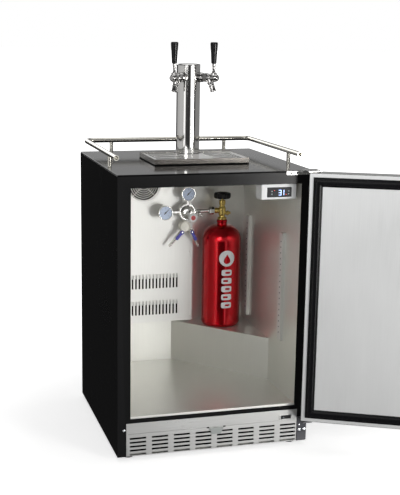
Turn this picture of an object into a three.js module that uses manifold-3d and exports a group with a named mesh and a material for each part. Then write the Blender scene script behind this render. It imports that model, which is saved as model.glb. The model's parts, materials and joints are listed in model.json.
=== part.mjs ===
// Under-counter kegerator: an insulated cabinet on a vented kick, an open right-hinged door, a
// two-faucet draft tower with a drip tray and a guard rail on top, and a gas cylinder with a
// dual-outlet regulator inside. Millimetres, +X right, +Y to the back, +Z up. The origin is the
// middle of the base pan's underside.
import * as THREE from "three";
import { mergeVertices } from "three/addons/utils/BufferGeometryUtils.js";
import Module from "manifold-3d";

const wasm = await Module();
wasm.setup();

// ---------- driving dimensions ----------
const GAP = 0.3; // clearance between neighbouring pieces
const WIDTH = 606;
const DEPTH = 600;
const HEIGHT = 860;
const HALF_WIDTH = WIDTH / 2;
const FRONT = -DEPTH / 2;
const BACK = DEPTH / 2;

const SKIN = 1.2; // cabinet sheet steel
const TOP_SHEET = 3.7;
const FRAME = 3; // depth of the front flange round the opening

const ROOM_HALF = 263; // inside of the cooled cabinet
const ROOM_FLOOR = 124;
const ROOM_CEILING = 822;
const ROOM_BACK = 235;
const LINER = 1.5;
const HUMP_LEFT = 4; // where the compressor step meets the back wall
const HUMP_FRONT = -54; // where it meets the right wall
const HUMP_TOP = 266;
const FOAM_FLOOR = 108;
const FOAM_OVER_HUMP = 40;
const RIB = { depth: 9.2, width: 28, bottom: 293, top: 645 }; // shelf ribs pressed into the side walls
const RIB_Y = [-166, 164];

const KICK_LEFT = -276;
const KICK_RIGHT = 273;
const HEADER_BOTTOM = 72.3;
const HEADER_TOP = 106.2;
const GRILLE_BOTTOM = 1;
const GRILLE_TOP = 71.7;
const STRIP_TOP = 120; // lower edge of the cabinet opening

const TOWER_X = 6;
const TOWER_Y = 60;
const COLUMN_R = 38.1; // 3 inch column
const COLUMN_TOP = 1158;
const SHANK_Z = 1121;
const FAUCET_REACH = 91; // column axis to spout and lever
const LEVER_PIVOT_Z = 1139;

const TRAY_WIDTH = 305;
const TRAY_FRONT = -112;
const TRAY_BACK = 91;
const TRAY_TOP = 879;

const RAIL_R = 8;
const RAIL_Z = 899;
const RAIL_HALF = 288;
const RAIL_BACK = 281;
const RAIL_FRONT = -215;

const TANK_X = 162;
const TANK_Y = 165;
const TANK_R = 66.7; // 5 lb cylinder, 5.25 inch
const OUTLET_Z = 665; // height of the valve outlet and of the regulator's inlet

const DOOR_TOP = 860;
const DOOR_BOTTOM = 86;
const DOOR_INNER = -311; // plane of the return flange when closed
const DOOR_OUTER = -358;
const HINGE_X = 289;
const HINGE_Y = -336;
const DOOR_OPEN_DEG = 153;

// ---------- materials ----------
function material(color, roughness, metalness) {
  return new THREE.MeshStandardMaterial({ color, roughness, metalness });
}
const FINISH = {
  black_paint: material(0x17171a, 0.5, 0.1),
  black_gloss: material(0x2a2a2d, 0.12, 0.2),
  brushed: material(0xc9c9c6, 0.35, 1),
  bright: material(0xe4e4e4, 0.1, 1),
  zinc: material(0xb9b9b4, 0.45, 0.9),
  dark_steel: material(0x4c4b52, 0.5, 0.6),
  black_plastic: material(0x101012, 0.4, 0),
  white_plastic: material(0xe8e8ea, 0.45, 0),
  display: material(0x0d1014, 0.1, 0),
  rubber: material(0x141416, 0.75, 0),
  foam: material(0xd8c98f, 0.95, 0),
  brass: material(0xb5903c, 0.3, 1),
  red_paint: material(0xa3141f, 0.2, 0.5),
  blue_plastic: material(0x34308c, 0.4, 0),
  dial: material(0xdfe6f2, 0.3, 0),
  needle: material(0x15151a, 0.5, 0),
};

// ---------- solids ----------
// A closed three.js geometry as a manifold solid.
function solid(geometry) {
  const bare = geometry.clone();
  bare.deleteAttribute("normal");
  bare.deleteAttribute("uv");
  const merged = mergeVertices(bare, 1e-4);
  return new wasm.Manifold(
    new wasm.Mesh({
      numProp: 3,
      vertProperties: merged.attributes.position.array,
      triVerts: new Uint32Array(merged.index.array),
    }),
  );
}

function join(...pieces) {
  return pieces.reduce((sum, piece) => sum.add(piece));
}

function cut(body, ...tools) {
  return tools.reduce((rest, tool) => rest.subtract(tool), body);
}

// A box from its lowest to its highest corner.
function box(x0, y0, z0, x1, y1, z1) {
  const geometry = new THREE.BoxGeometry(x1 - x0, y1 - y0, z1 - z0);
  geometry.translate((x0 + x1) / 2, (y0 + y1) / 2, (z0 + z1) / 2);
  return solid(geometry);
}

// A round bar, or a cone, between two points.
function rod(from, to, radius, sides = 20, endRadius = radius) {
  const start = new THREE.Vector3(...from);
  const end = new THREE.Vector3(...to);
  const along = end.clone().sub(start);
  const geometry = new THREE.CylinderGeometry(endRadius, radius, along.length(), sides);
  const turn = new THREE.Quaternion().setFromUnitVectors(
    new THREE.Vector3(0, 1, 0),
    along.clone().normalize(),
  );
  geometry.applyQuaternion(turn);
  geometry.translate(...start.add(end).multiplyScalar(0.5).toArray());
  return solid(geometry);
}

function ball(centre, radius, sides = 12) {
  const geometry = new THREE.SphereGeometry(radius, sides, sides / 2);
  geometry.translate(...centre);
  return solid(geometry);
}

// A flat outline in X and Y, raised from one height to another.
function slab(shape, z0, z1, curveSegments = 10) {
  const geometry = new THREE.ExtrudeGeometry(shape, {
    depth: z1 - z0,
    bevelEnabled: false,
    curveSegments,
  });
  geometry.translate(0, 0, z0);
  return solid(geometry);
}

function polygon(...points) {
  return new THREE.Shape(points.map(([x, y]) => new THREE.Vector2(x, y)));
}

// A profile of [radius, height] points turned about a vertical axis.
function turned(profile, x, y, sides = 32) {
  const points = profile.map(([radius, height]) => new THREE.Vector2(radius, height));
  const geometry = new THREE.LatheGeometry(points, sides);
  geometry.rotateX(Math.PI / 2);
  geometry.translate(x, y, 0);
  return solid(geometry);
}

// The same about an axis that points to the front (-Y); height counts towards the viewer.
function turnedToFront(profile, x, y, z, sides = 32) {
  const points = profile.map(([radius, height]) => new THREE.Vector2(radius, height));
  const geometry = new THREE.LatheGeometry(points, sides);
  geometry.rotateX(Math.PI);
  geometry.translate(x, y, z);
  return solid(geometry);
}

// A path that gives every one of its curves the same number of steps, long or short.
class SteppedPath extends THREE.Curve {
  constructor(curves) {
    super();
    this.curves = curves;
  }

  getPoint(t) {
    const count = this.curves.length;
    const scaled = t * count;
    const index = Math.min(Math.floor(scaled), count - 1);
    return this.curves[index].getPoint(scaled - index);
  }

  getUtoTmapping(u) {
    return u;
  }
}

// A tube or bar of round section along a curve.
function tube(curve, radius, sides, steps) {
  const section = new THREE.Shape();
  section.absarc(0, 0, radius, 0, 2 * Math.PI, false);
  const outline = new THREE.Shape(section.getPoints(sides).slice(0, sides));
  return solid(
    new THREE.ExtrudeGeometry(outline, { steps, bevelEnabled: false, extrudePath: curve }),
  );
}

// ---------- scene graph ----------
const kegerator = new THREE.Group();

function add(name, body, finish, parent = kegerator) {
  const data = body.getMesh();
  const geometry = new THREE.BufferGeometry();
  geometry.setAttribute("position", new THREE.BufferAttribute(data.vertProperties, 3));
  geometry.setIndex(new THREE.BufferAttribute(data.triVerts, 1));
  geometry.computeVertexNormals();
  const mesh = new THREE.Mesh(geometry, FINISH[finish].clone());
  mesh.name = name;
  parent.add(mesh);
}

// ---------- cabinet ----------
const BEER_LINE_R = 24; // hole for the beer lines under the tower
const REAR_OPENING_BOTTOM = 12;
const REAR_OPENING_TOP = 250;

function beerLineHole(radius, z0, z1) {
  return rod([TOWER_X, TOWER_Y, z0], [TOWER_X, TOWER_Y, z1], radius, 24);
}

// The compressor step in plan, moved inwards by an offset from its diagonal face.
function humpPlan(offset, backY, rightX) {
  const run = ROOM_HALF - HUMP_LEFT;
  const rise = ROOM_BACK - HUMP_FRONT;
  const length = Math.hypot(run, rise);
  const slide = offset * length;
  const leftAtBack = HUMP_LEFT + (slide - run * (backY - ROOM_BACK)) / rise;
  const frontAtRight = HUMP_FRONT + (slide - rise * (rightX - ROOM_HALF)) / run;
  return polygon([leftAtBack, backY], [rightX, frontAtRight], [rightX, backY]);
}

function addCabinet() {
  const inner = HALF_WIDTH - SKIN;
  const sheetTop = HEIGHT - TOP_SHEET - GAP;
  // Sides and back are one bent sheet that turns in at the front to frame the opening and the kick.
  const plan = polygon(
    [-HALF_WIDTH, FRONT],
    [-inner, FRONT],
    [-inner, BACK - SKIN],
    [inner, BACK - SKIN],
    [inner, FRONT],
    [HALF_WIDTH, FRONT],
    [HALF_WIDTH, BACK],
    [-HALF_WIDTH, BACK],
  );
  const frontFlange = cut(
    box(-HALF_WIDTH, FRONT, 0, HALF_WIDTH, FRONT + FRAME, sheetTop),
    box(-ROOM_HALF, FRONT - 10, STRIP_TOP, ROOM_HALF, FRONT + 10, ROOM_CEILING - 1),
    box(KICK_LEFT - GAP, FRONT - 10, -10, KICK_RIGHT + GAP, FRONT + 10, HEADER_TOP + GAP),
  );
  const wrapper = cut(
    join(slab(plan, 0, sheetTop), frontFlange),
    box(-270, BACK - 10, REAR_OPENING_BOTTOM, 270, BACK + 10, REAR_OPENING_TOP),
  );
  add("cabinet_wrapper", wrapper, "black_paint");

  const top = cut(
    box(-HALF_WIDTH, FRONT, HEIGHT - TOP_SHEET, HALF_WIDTH, BACK, HEIGHT),
    beerLineHole(BEER_LINE_R + 2, HEIGHT - 20, HEIGHT + 20),
  );
  add("top_panel", top, "black_gloss");
  addLiner();
  addFoam();
  addBase();
}

function addLiner() {
  const front = FRONT + FRAME + GAP;
  const outer = ROOM_HALF + LINER;
  const shell = cut(
    box(-outer, front, ROOM_FLOOR - LINER, outer, ROOM_BACK + LINER, ROOM_CEILING + LINER),
    box(-ROOM_HALF, front - 10, ROOM_FLOOR, ROOM_HALF, ROOM_BACK, ROOM_CEILING),
  );
  // The floor's front edge is a low bright sill that hooks over the frame.
  const sillTop = ROOM_FLOOR + 3.5;
  const sillSide = ROOM_HALF - GAP;
  const sill = join(
    box(-sillSide, FRONT - 0.2, STRIP_TOP + 0.5, sillSide, front - GAP, sillTop),
    box(-sillSide, FRONT + 1, ROOM_FLOOR - LINER, sillSide, front + LINER, sillTop),
  );
  const humpBottom = ROOM_FLOOR - LINER;
  const wholeHump = slab(humpPlan(0, ROOM_BACK + LINER, ROOM_HALF + LINER), humpBottom, HUMP_TOP);
  const underHump = slab(
    humpPlan(LINER, ROOM_BACK + LINER + 1, ROOM_HALF + LINER + 1),
    humpBottom - 1,
    HUMP_TOP - LINER,
  );
  const liner = cut(
    join(shell, sill, wholeHump, ...sideRibs()),
    underHump,
    beerLineHole(BEER_LINE_R, ROOM_CEILING - 10, ROOM_CEILING + 10),
  );
  add("liner", liner, "brushed");
}

// Two upright ribs on each side wall, which carry shelves when the cabinet is used as a refrigerator.
function sideRibs() {
  const ribs = [];
  for (const side of [-1, 1]) {
    for (const y of RIB_Y) {
      const inner = side * (ROOM_HALF - RIB.depth);
      const outer = side * (ROOM_HALF + LINER / 2);
      const [x0, x1] = [Math.min(inner, outer), Math.max(inner, outer)];
      ribs.push(box(x0, y - RIB.width / 2, RIB.bottom, x1, y + RIB.width / 2, RIB.top));
    }
  }
  return ribs;
}

function addFoam() {
  const side = HALF_WIDTH - SKIN - GAP;
  const front = FRONT + FRAME + GAP;
  const liner = ROOM_HALF + LINER + GAP;
  const block = box(-side, front, FOAM_FLOOR, side, BACK - SKIN - GAP, HEIGHT - TOP_SHEET - 2 * GAP);
  const linerSpace = box(
    -liner,
    front - 1,
    ROOM_FLOOR - LINER - GAP,
    liner,
    ROOM_BACK + LINER + GAP,
    ROOM_CEILING + LINER + GAP,
  );
  const foamUnderHump = slab(
    humpPlan(LINER + GAP, ROOM_BACK + 20, ROOM_HALF + 20),
    FOAM_FLOOR,
    HUMP_TOP - LINER - GAP,
  );
  const machinePlan = humpPlan(FOAM_OVER_HUMP, BACK + 1, side - 12);
  const machineSpace = slab(machinePlan, 0, HUMP_TOP - FOAM_OVER_HUMP);
  const foam = cut(
    join(cut(block, linerSpace), foamUnderHump.intersect(block)),
    machineSpace,
    beerLineHole(BEER_LINE_R + 1, ROOM_CEILING - 10, HEIGHT + 10),
  );
  add("foam_insulation", foam, "foam");
}

const FOOT_X = 262;
const FOOT_Y = [-262, 262];
const FOOT_PAD_R = 18;
const FOOT_STEM_R = 4.5;
const FOOT_DROP = 12; // how far the pad stands below the base when screwed right in
const FOOT_STEM_TOP = 34;
const FOOT_NECK = 2.6; // bare stem between the base and the pad's hub

function addBase() {
  const side = HALF_WIDTH - SKIN - GAP;
  const front = FRONT + 12;
  const rear = BACK - SKIN - GAP;
  const lipHeight = 14;
  const sheet = 2;
  let pan = cut(
    box(-side, front, 0, side, rear, lipHeight),
    box(-side + sheet, front + sheet, sheet, side - sheet, rear - sheet, lipHeight + 1),
  );
  const feet = [
    ["front_left", -FOOT_X, FOOT_Y[0]],
    ["front_right", FOOT_X, FOOT_Y[0]],
    ["rear_left", -FOOT_X, FOOT_Y[1]],
    ["rear_right", FOOT_X, FOOT_Y[1]],
  ];
  for (const [, x, y] of feet) {
    pan = cut(pan, rod([x, y, -5], [x, y, 20], FOOT_STEM_R + GAP, 16));
  }
  add("base_pan", pan, "zinc");
  for (const [place, x, y] of feet) {
    const foot = turned(
      [
        [0, -FOOT_DROP],
        [FOOT_PAD_R - 1.5, -FOOT_DROP],
        [FOOT_PAD_R, -FOOT_DROP + 2],
        [FOOT_PAD_R, -FOOT_DROP / 2],
        [FOOT_PAD_R / 2, -FOOT_NECK],
        [FOOT_STEM_R, -FOOT_NECK],
        [FOOT_STEM_R, FOOT_STEM_TOP],
        [0, FOOT_STEM_TOP],
      ],
      x,
      y,
      14,
    );
    add(`leveling_foot_${place}`, foot, "black_plastic");
  }
}

// ---------- kick ----------
const SLOT_GROUPS = 8;
const SLOTS_PER_GROUP = 5;
const GROUP_PITCH = 69;
const FIRST_GROUP_X = -265;
const SLOT_LENGTH = 51;
const SLOT_HEIGHT = 5.6;
const SLOT_PITCH = 12.6;
const LOWEST_SLOT_Z = 6.6;
const SWITCH = { x0: 214, x1: 257.5, z0: 75.5, z1: 91 };
const ROCKER_TILT_DEG = 5;
const ROCKER_HALF = 16;
const ROCKER_HEIGHT = 10.6;
const CATCH = { x: 7.5, bottom: 50, top: 70, bottomHalf: 14, topHalf: 23, sheet: 1.6, proud: 5 };

function addKick() {
  const sheet = 2;
  const front = FRONT - 0.4;
  const hem = 9; // depth of the folded edges
  const headerPlate = box(KICK_LEFT, front, HEADER_BOTTOM, KICK_RIGHT, front + sheet, HEADER_TOP);
  const headerFold = box(KICK_LEFT, front, HEADER_TOP - sheet, KICK_RIGHT, front + hem, HEADER_TOP);
  // The switch's bezel is pressed into the header and counts as one piece with it.
  const rockerX = (SWITCH.x0 + SWITCH.x1) / 2;
  const rockerZ = (SWITCH.z0 + SWITCH.z1) / 2;
  const wellHalf = ROCKER_HALF + 1;
  const wellHeight = ROCKER_HEIGHT / 2 + 2 * GAP;
  const header = cut(
    join(
      headerPlate,
      headerFold,
      box(SWITCH.x0, front - 2, SWITCH.z0, SWITCH.x1, front + 16, SWITCH.z1),
    ),
    box(
      rockerX - wellHalf,
      front - 6,
      rockerZ - wellHeight,
      rockerX + wellHalf,
      front + 12,
      rockerZ + wellHeight,
    ),
  );
  add("kick_header", header, "brushed");
  // A shallow V in plan, at rest with its right half pressed in.
  const tilt = THREE.MathUtils.degToRad(ROCKER_TILT_DEG);
  const pivot = new THREE.Vector2(rockerX, front + 2);
  const centre = new THREE.Vector2();
  const rockerCorners = [
    [-ROCKER_HALF, -4.8],
    [0, -3.4],
    [ROCKER_HALF, -4.8],
    [ROCKER_HALF - 3, 1],
    [3 - ROCKER_HALF, 1],
  ].map(([x, y]) => new THREE.Vector2(x, y).rotateAround(centre, tilt).add(pivot).toArray());
  const rocker = slab(
    polygon(...rockerCorners),
    rockerZ - ROCKER_HEIGHT / 2,
    rockerZ + ROCKER_HEIGHT / 2,
  );
  add("power_rocker", rocker, "black_plastic");

  let grille = join(
    box(KICK_LEFT, front, GRILLE_BOTTOM, KICK_RIGHT, front + sheet, GRILLE_TOP),
    box(KICK_LEFT, front, GRILLE_TOP - sheet, KICK_RIGHT, front + hem, GRILLE_TOP),
  );
  for (let group = 0; group < SLOT_GROUPS; group++) {
    const x = FIRST_GROUP_X + group * GROUP_PITCH;
    for (let row = 0; row < SLOTS_PER_GROUP; row++) {
      const z0 = LOWEST_SLOT_Z + row * SLOT_PITCH - SLOT_HEIGHT / 2;
      grille = cut(grille, box(x, front - 5, z0, x + SLOT_LENGTH, front + 7, z0 + SLOT_HEIGHT));
    }
  }
  add("kick_grille", grille, "brushed");

  // A tapered tab that stands proud of the grille and folds back to it at the top.
  const catchFront = front - CATCH.proud;
  const tab = polygon(
    [CATCH.x - CATCH.bottomHalf, CATCH.bottom],
    [CATCH.x + CATCH.bottomHalf, CATCH.bottom],
    [CATCH.x + CATCH.topHalf, CATCH.top],
    [CATCH.x - CATCH.topHalf, CATCH.top],
  );
  const tabGeometry = new THREE.ExtrudeGeometry(tab, { depth: CATCH.sheet, bevelEnabled: false });
  tabGeometry.rotateX(Math.PI / 2);
  tabGeometry.translate(0, catchFront + CATCH.sheet, 0);
  const fold = box(
    CATCH.x - CATCH.topHalf,
    catchFront,
    CATCH.top - CATCH.sheet,
    CATCH.x + CATCH.topHalf,
    front - GAP,
    CATCH.top,
  );
  add("catch_plate", join(solid(tabGeometry), fold), "zinc");
}

// ---------- hinges ----------
const PIN_R = 4;
const PIN_BORE_R = 4.5;
const PIN_DEPTH = 13;
const BRACKET_RIGHT = 305;
const BRACKET_LEFT = 274;
const UPPER_BRACKET_LEFT = 212;
const UPPER_BRACKET_BOTTOM = 848;
const TONGUE = 4; // thickness of the arms that carry the pins

function addHinges() {
  const face = FRONT - GAP;
  const tongueFront = HINGE_Y - 16;
  const lowerPlate = 3;
  const lowerTongue = DOOR_BOTTOM - 5;
  const lower = join(
    box(BRACKET_LEFT, face - lowerPlate, 2, BRACKET_RIGHT, face, lowerTongue),
    box(BRACKET_LEFT, tongueFront, lowerTongue - TONGUE, BRACKET_RIGHT, face, lowerTongue),
    rod([HINGE_X, HINGE_Y, lowerTongue - 2], [HINGE_X, HINGE_Y, DOOR_BOTTOM + PIN_DEPTH], PIN_R),
  );
  add("lower_hinge_bracket", lower, "dark_steel");

  const upperPlate = 2;
  const armLeft = BRACKET_LEFT - 12;
  const upperTongue = DOOR_TOP + 1.5;
  const armTop = upperTongue + TONGUE;
  const plateFront = face - upperPlate;
  const upper = join(
    box(UPPER_BRACKET_LEFT, plateFront, UPPER_BRACKET_BOTTOM, BRACKET_RIGHT, face, HEIGHT - GAP),
    box(armLeft, plateFront, UPPER_BRACKET_BOTTOM, BRACKET_RIGHT, face, armTop),
    box(armLeft, tongueFront, upperTongue, BRACKET_RIGHT, face, armTop),
    rod([HINGE_X, HINGE_Y, DOOR_TOP - PIN_DEPTH], [HINGE_X, HINGE_Y, upperTongue + 2], PIN_R),
  );
  add("upper_hinge_bracket", upper, "zinc");
}

// ---------- machine compartment ----------
function finBlock(x0, y0, z0, x1, y1, z1, pitch, barDepth) {
  const fins = [];
  const fin = 1.6;
  for (let x = x0; x + fin <= x1; x += pitch) {
    fins.push(box(x, y0, z0, x + fin, y1, z1));
  }
  const barFront = (y0 + y1) / 2 - barDepth / 2;
  const bars = [
    box(x0, barFront, z0, x1, barFront + barDepth, z0 + 5),
    box(x0, barFront, z1 - 5, x1, barFront + barDepth, z1),
  ];
  return join(...fins, ...bars);
}

// A hub with pitched blades, spinning about an axis along Y.
function fanRotor(x, y0, z, { hub, tip, depth }) {
  const pitch = 0.45; // radians
  const root = 4; // how far a blade reaches into the hub
  let rotor = rod([x, y0, z], [x, y0 + depth, z], hub, 20);
  for (let index = 0; index < FAN_BLADES; index++) {
    const blade = new THREE.BoxGeometry(tip - hub + root, 1.6, (tip - hub) * 0.75);
    blade.rotateX(pitch);
    blade.translate((tip + hub - root) / 2, 0, 0);
    blade.rotateY((index / FAN_BLADES) * 2 * Math.PI);
    blade.translate(x, y0 + depth / 2, z);
    rotor = join(rotor, solid(blade));
  }
  return rotor;
}

const CONDENSER = { x: -150, y: -150, z: 48, bottom: 6, top: 90 };
const CONDENSER_FAN = { hub: 13, tip: 36, depth: 14 };
const COMPRESSOR = { x: 206, y: 205, r: 62 };
const EVAPORATOR_FAN = { x: -108, z: 756, hub: 15, tip: 50, depth: 16 };
const EVAPORATOR_COIL = { x0: -230, x1: 34, y0: 202, y1: 230, z0: 300, z1: 660 };
const FAN_BLADES = 5;
const FIN_PITCH = { condenser: 18, evaporator: 24 };

function addMachinery() {
  const { x, y, z, bottom, top } = CONDENSER;
  const coil = finBlock(x - 100, y - 60, bottom, x + 100, y - 22, top, FIN_PITCH.condenser, 10);
  const shroud = cut(
    box(x - 50, y - 30, bottom, x + 50, y - 10, top),
    rod([x, y - 62, z], [x, y, z], CONDENSER_FAN.tip + 4, 28),
  );
  const motorArm = box(x - 48, y + 14, z - 4, x + 48, y + 18, z + 4);
  const armLegs = join(
    box(x - 49, y - 12, z - 4, x - 45, y + 18, z + 4),
    box(x + 45, y - 12, z - 4, x + 49, y + 18, z + 4),
  );
  const motor = rod([x, y + 10, z], [x, y + 40, z], 18, 20);
  add("condenser", join(coil, shroud, motorArm, armLegs, motor), "dark_steel");
  add("condenser_fan", fanRotor(x, y - 9, z, CONDENSER_FAN), "black_plastic");

  const can = turned(
    [
      [0, 16],
      [COMPRESSOR.r - 8, 16],
      [COMPRESSOR.r, 26],
      [COMPRESSOR.r, 88],
      [COMPRESSOR.r + 4, 90],
      [COMPRESSOR.r + 4, 95],
      [COMPRESSOR.r, 97],
      [COMPRESSOR.r, 140],
      [COMPRESSOR.r - 10, 162],
      [COMPRESSOR.r - 32, 176],
      [0, 180],
    ],
    COMPRESSOR.x,
    COMPRESSOR.y,
    24,
  );
  const mountPlate = box(
    COMPRESSOR.x - 80,
    COMPRESSOR.y - 48,
    2 + GAP,
    COMPRESSOR.x + 80,
    COMPRESSOR.y + 48,
    17,
  );
  add("compressor", join(can, mountPlate), "black_paint");
}

// ---------- evaporator behind its cover ----------
const COVER_FRONT = 190;
const COVER_LEFT = -262.7;
const COVER_RIGHT = 66;
const COVER_BOTTOM = 276;
const COVER_TOP = 821.7;
const VENT_COLUMNS = 19;
const VENT_PITCH = 12.05;
const VENT_WIDTH = 5.6;
const VENT_HEIGHT = 50.5;
const VENT_LAST_X = 11;
const VENT_ROWS = [302.4, 395.5];
const GUARD_R = 60;

function addEvaporator() {
  const sheet = 1.5;
  const wall = ROOM_BACK - GAP;
  const fanHole = rod(
    [EVAPORATOR_FAN.x, COVER_FRONT - 5, EVAPORATOR_FAN.z],
    [EVAPORATOR_FAN.x, COVER_FRONT + 5, EVAPORATOR_FAN.z],
    GUARD_R - 6,
    36,
  );
  let cover = cut(
    box(COVER_LEFT, COVER_FRONT, COVER_BOTTOM, COVER_RIGHT, wall, COVER_TOP),
    box(
      COVER_LEFT + sheet,
      COVER_FRONT + sheet,
      COVER_BOTTOM + sheet,
      COVER_RIGHT - sheet,
      wall + 1,
      COVER_TOP + 1,
    ),
    fanHole,
  );
  for (const low of VENT_ROWS) {
    for (let column = 0; column < VENT_COLUMNS; column++) {
      const x = VENT_LAST_X - column * VENT_PITCH;
      const vent = box(
        x - VENT_WIDTH / 2,
        COVER_FRONT - 5,
        low,
        x + VENT_WIDTH / 2,
        COVER_FRONT + 5,
        low + VENT_HEIGHT,
      );
      cover = cut(cover, vent);
    }
  }
  add("evaporator_cover", cover, "brushed");

  const guardY = COVER_FRONT - GAP;
  const guardDepth = 2.6;
  const rings = [];
  for (const radius of [14, 25, 36, 47, GUARD_R - 1.5]) {
    rings.push(
      turnedToFront(
        [
          [radius - 1.3, GAP],
          [radius + 1.3, GAP],
          [radius + 1.3, guardDepth],
          [radius - 1.3, guardDepth],
          [radius - 1.3, GAP],
        ],
        EVAPORATOR_FAN.x,
        guardY + GAP,
        EVAPORATOR_FAN.z,
        24,
      ),
    );
  }
  for (const angle of [Math.PI / 4, (3 * Math.PI) / 4]) {
    const spoke = new THREE.BoxGeometry(2 * GUARD_R - 2, guardDepth - GAP, 3.4);
    spoke.rotateY(angle);
    spoke.translate(EVAPORATOR_FAN.x, guardY - guardDepth / 2 + GAP / 2, EVAPORATOR_FAN.z);
    rings.push(solid(spoke));
  }
  add("evaporator_fan_guard", join(...rings), "zinc");

  const fanY = COVER_FRONT + 4;
  add(
    "evaporator_fan",
    fanRotor(EVAPORATOR_FAN.x, fanY, EVAPORATOR_FAN.z, EVAPORATOR_FAN),
    "black_plastic",
  );
  const { x: fanX, z: fanZ } = EVAPORATOR_FAN;
  const motorFront = fanY + EVAPORATOR_FAN.depth + 1;
  const motor = join(
    rod([fanX, motorFront, fanZ], [fanX, wall, fanZ], 20),
    box(fanX - 58, wall - 3, fanZ - 8, fanX + 58, wall, fanZ + 8),
  );
  add("evaporator_fan_motor", motor, "dark_steel");
  const { x0, x1, y0, y1, z0, z1 } = EVAPORATOR_COIL;
  add("evaporator_coil", finBlock(x0, y0, z0, x1, y1, z1, FIN_PITCH.evaporator, 8), "zinc");
}

// ---------- temperature controller ----------
const CONTROLLER = { x0: 140.3, x1: 251, z0: 772.5, front: -285, back: -232 };
const WINDOW = { x0: 158.5, x1: 236, z0: 779.7, z1: 809.3 };
const BUTTON_X = [173, 226.5];
const BUTTON_Z = [797.5, 789];
const BUTTON_R = 2.2;

function addController() {
  const corner = 9;
  const { x0, x1, z0, front, back } = CONTROLLER;
  const z1 = ROOM_CEILING - GAP;
  // Seen from the side the lower back corner is rounded off.
  const side = new THREE.Shape();
  side.moveTo(front, z0 + 2);
  side.lineTo(front + 2, z0);
  side.lineTo(back - corner, z0);
  side.absarc(back - corner, z0 + corner, corner, -Math.PI / 2, 0, false);
  side.lineTo(back, z1);
  side.lineTo(front, z1);
  const geometry = new THREE.ExtrudeGeometry(side, {
    depth: x1 - x0,
    bevelEnabled: false,
    curveSegments: 5,
  });
  // The outline is drawn in Y and Z, so it is turned to run along X.
  geometry.applyMatrix4(
    new THREE.Matrix4().makeBasis(
      new THREE.Vector3(0, 1, 0),
      new THREE.Vector3(0, 0, 1),
      new THREE.Vector3(1, 0, 0),
    ),
  );
  geometry.translate(x0, 0, 0);
  const housing = cut(
    solid(geometry),
    box(WINDOW.x0, front - 5, WINDOW.z0, WINDOW.x1, front + 8, WINDOW.z1),
  );
  add("controller_housing", housing, "white_plastic");

  let display = box(
    WINDOW.x0 + GAP,
    front - 0.8,
    WINDOW.z0 + GAP,
    WINDOW.x1 - GAP,
    front + 7.5,
    WINDOW.z1 - GAP,
  );
  for (const x of BUTTON_X) {
    for (const z of BUTTON_Z) {
      display = cut(display, rod([x, front - 5, z], [x, front + 3, z], BUTTON_R + GAP, 14));
    }
  }
  add("controller_display", display, "display");
  let number = 1;
  for (const x of BUTTON_X) {
    for (const z of BUTTON_Z) {
      const button = rod([x, front - 1.6, z], [x, front + 1.8, z], BUTTON_R, 14);
      add(`controller_button_${number}`, button, "white_plastic");
      number += 1;
    }
  }
}

// ---------- rear ----------
function addRear() {
  const face = BACK;
  const sheet = SKIN;
  let cover = box(-269, face - sheet, REAR_OPENING_BOTTOM + 1, 269, face, REAR_OPENING_TOP - 1);
  const ventPitch = 44;
  const ventWidth = 8;
  const lowerVents = 11;
  const upperVents = 5; // only over the machine space under the compressor step
  for (let index = 0; index < lowerVents; index++) {
    const x = (index - (lowerVents - 1) / 2) * ventPitch;
    cover = cut(cover, box(x, face - 10, 30, x + ventWidth, face + 10, 92));
    if (index >= lowerVents - upperVents) {
      cover = cut(cover, box(x, face - 10, 124, x + ventWidth, face + 10, 186));
    }
  }
  // The gland for the power cord is clipped into the cover.
  const glandX = 232;
  const glandZ = 212;
  const gland = join(
    rod([glandX, face - 8, glandZ], [glandX, face + 8, glandZ], 7.6, 16),
    rod([glandX, face - sheet / 2, glandZ], [glandX, face + 8, glandZ], 12, 16, 9),
  );
  const bore = rod([glandX, face - 12, glandZ], [glandX, face + 12, glandZ], 4, 12);
  add("rear_service_cover", cut(join(cover, gland), bore), "black_paint");
}

// ---------- guard rail ----------
function addGuardRail() {
  const corner = 28;
  const at = (x, y) => new THREE.Vector3(x, y, RAIL_Z);
  const bendY = RAIL_BACK - corner;
  const bendX = RAIL_HALF - corner;
  const leftSide = new THREE.LineCurve3(at(-RAIL_HALF, RAIL_FRONT), at(-RAIL_HALF, bendY));
  const leftCorner = new THREE.QuadraticBezierCurve3(
    at(-RAIL_HALF, bendY),
    at(-RAIL_HALF, RAIL_BACK),
    at(-bendX, RAIL_BACK),
  );
  const back = new THREE.LineCurve3(at(-bendX, RAIL_BACK), at(bendX, RAIL_BACK));
  const rightCorner = new THREE.QuadraticBezierCurve3(
    at(bendX, RAIL_BACK),
    at(RAIL_HALF, RAIL_BACK),
    at(RAIL_HALF, bendY),
  );
  const rightSide = new THREE.LineCurve3(at(RAIL_HALF, bendY), at(RAIL_HALF, RAIL_FRONT));
  const path = new SteppedPath([leftSide, leftCorner, back, rightCorner, rightSide]);
  const posts = [
    [-RAIL_HALF, -116],
    [RAIL_HALF, -116],
    [-200, RAIL_BACK],
    [200, RAIL_BACK],
  ].map(([x, y]) => rod([x, y, HEIGHT + GAP], [x, y, RAIL_Z - 3], 6.2, 14));
  const ends = [-RAIL_HALF, RAIL_HALF].map((x) =>
    rod([x, RAIL_FRONT - 5, RAIL_Z], [x, RAIL_FRONT + 25, RAIL_Z], RAIL_R - 1.6, 12),
  );
  add("guard_rail", cut(join(tube(path, RAIL_R, 14, 25), ...posts), ...ends), "bright");
}

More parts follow.
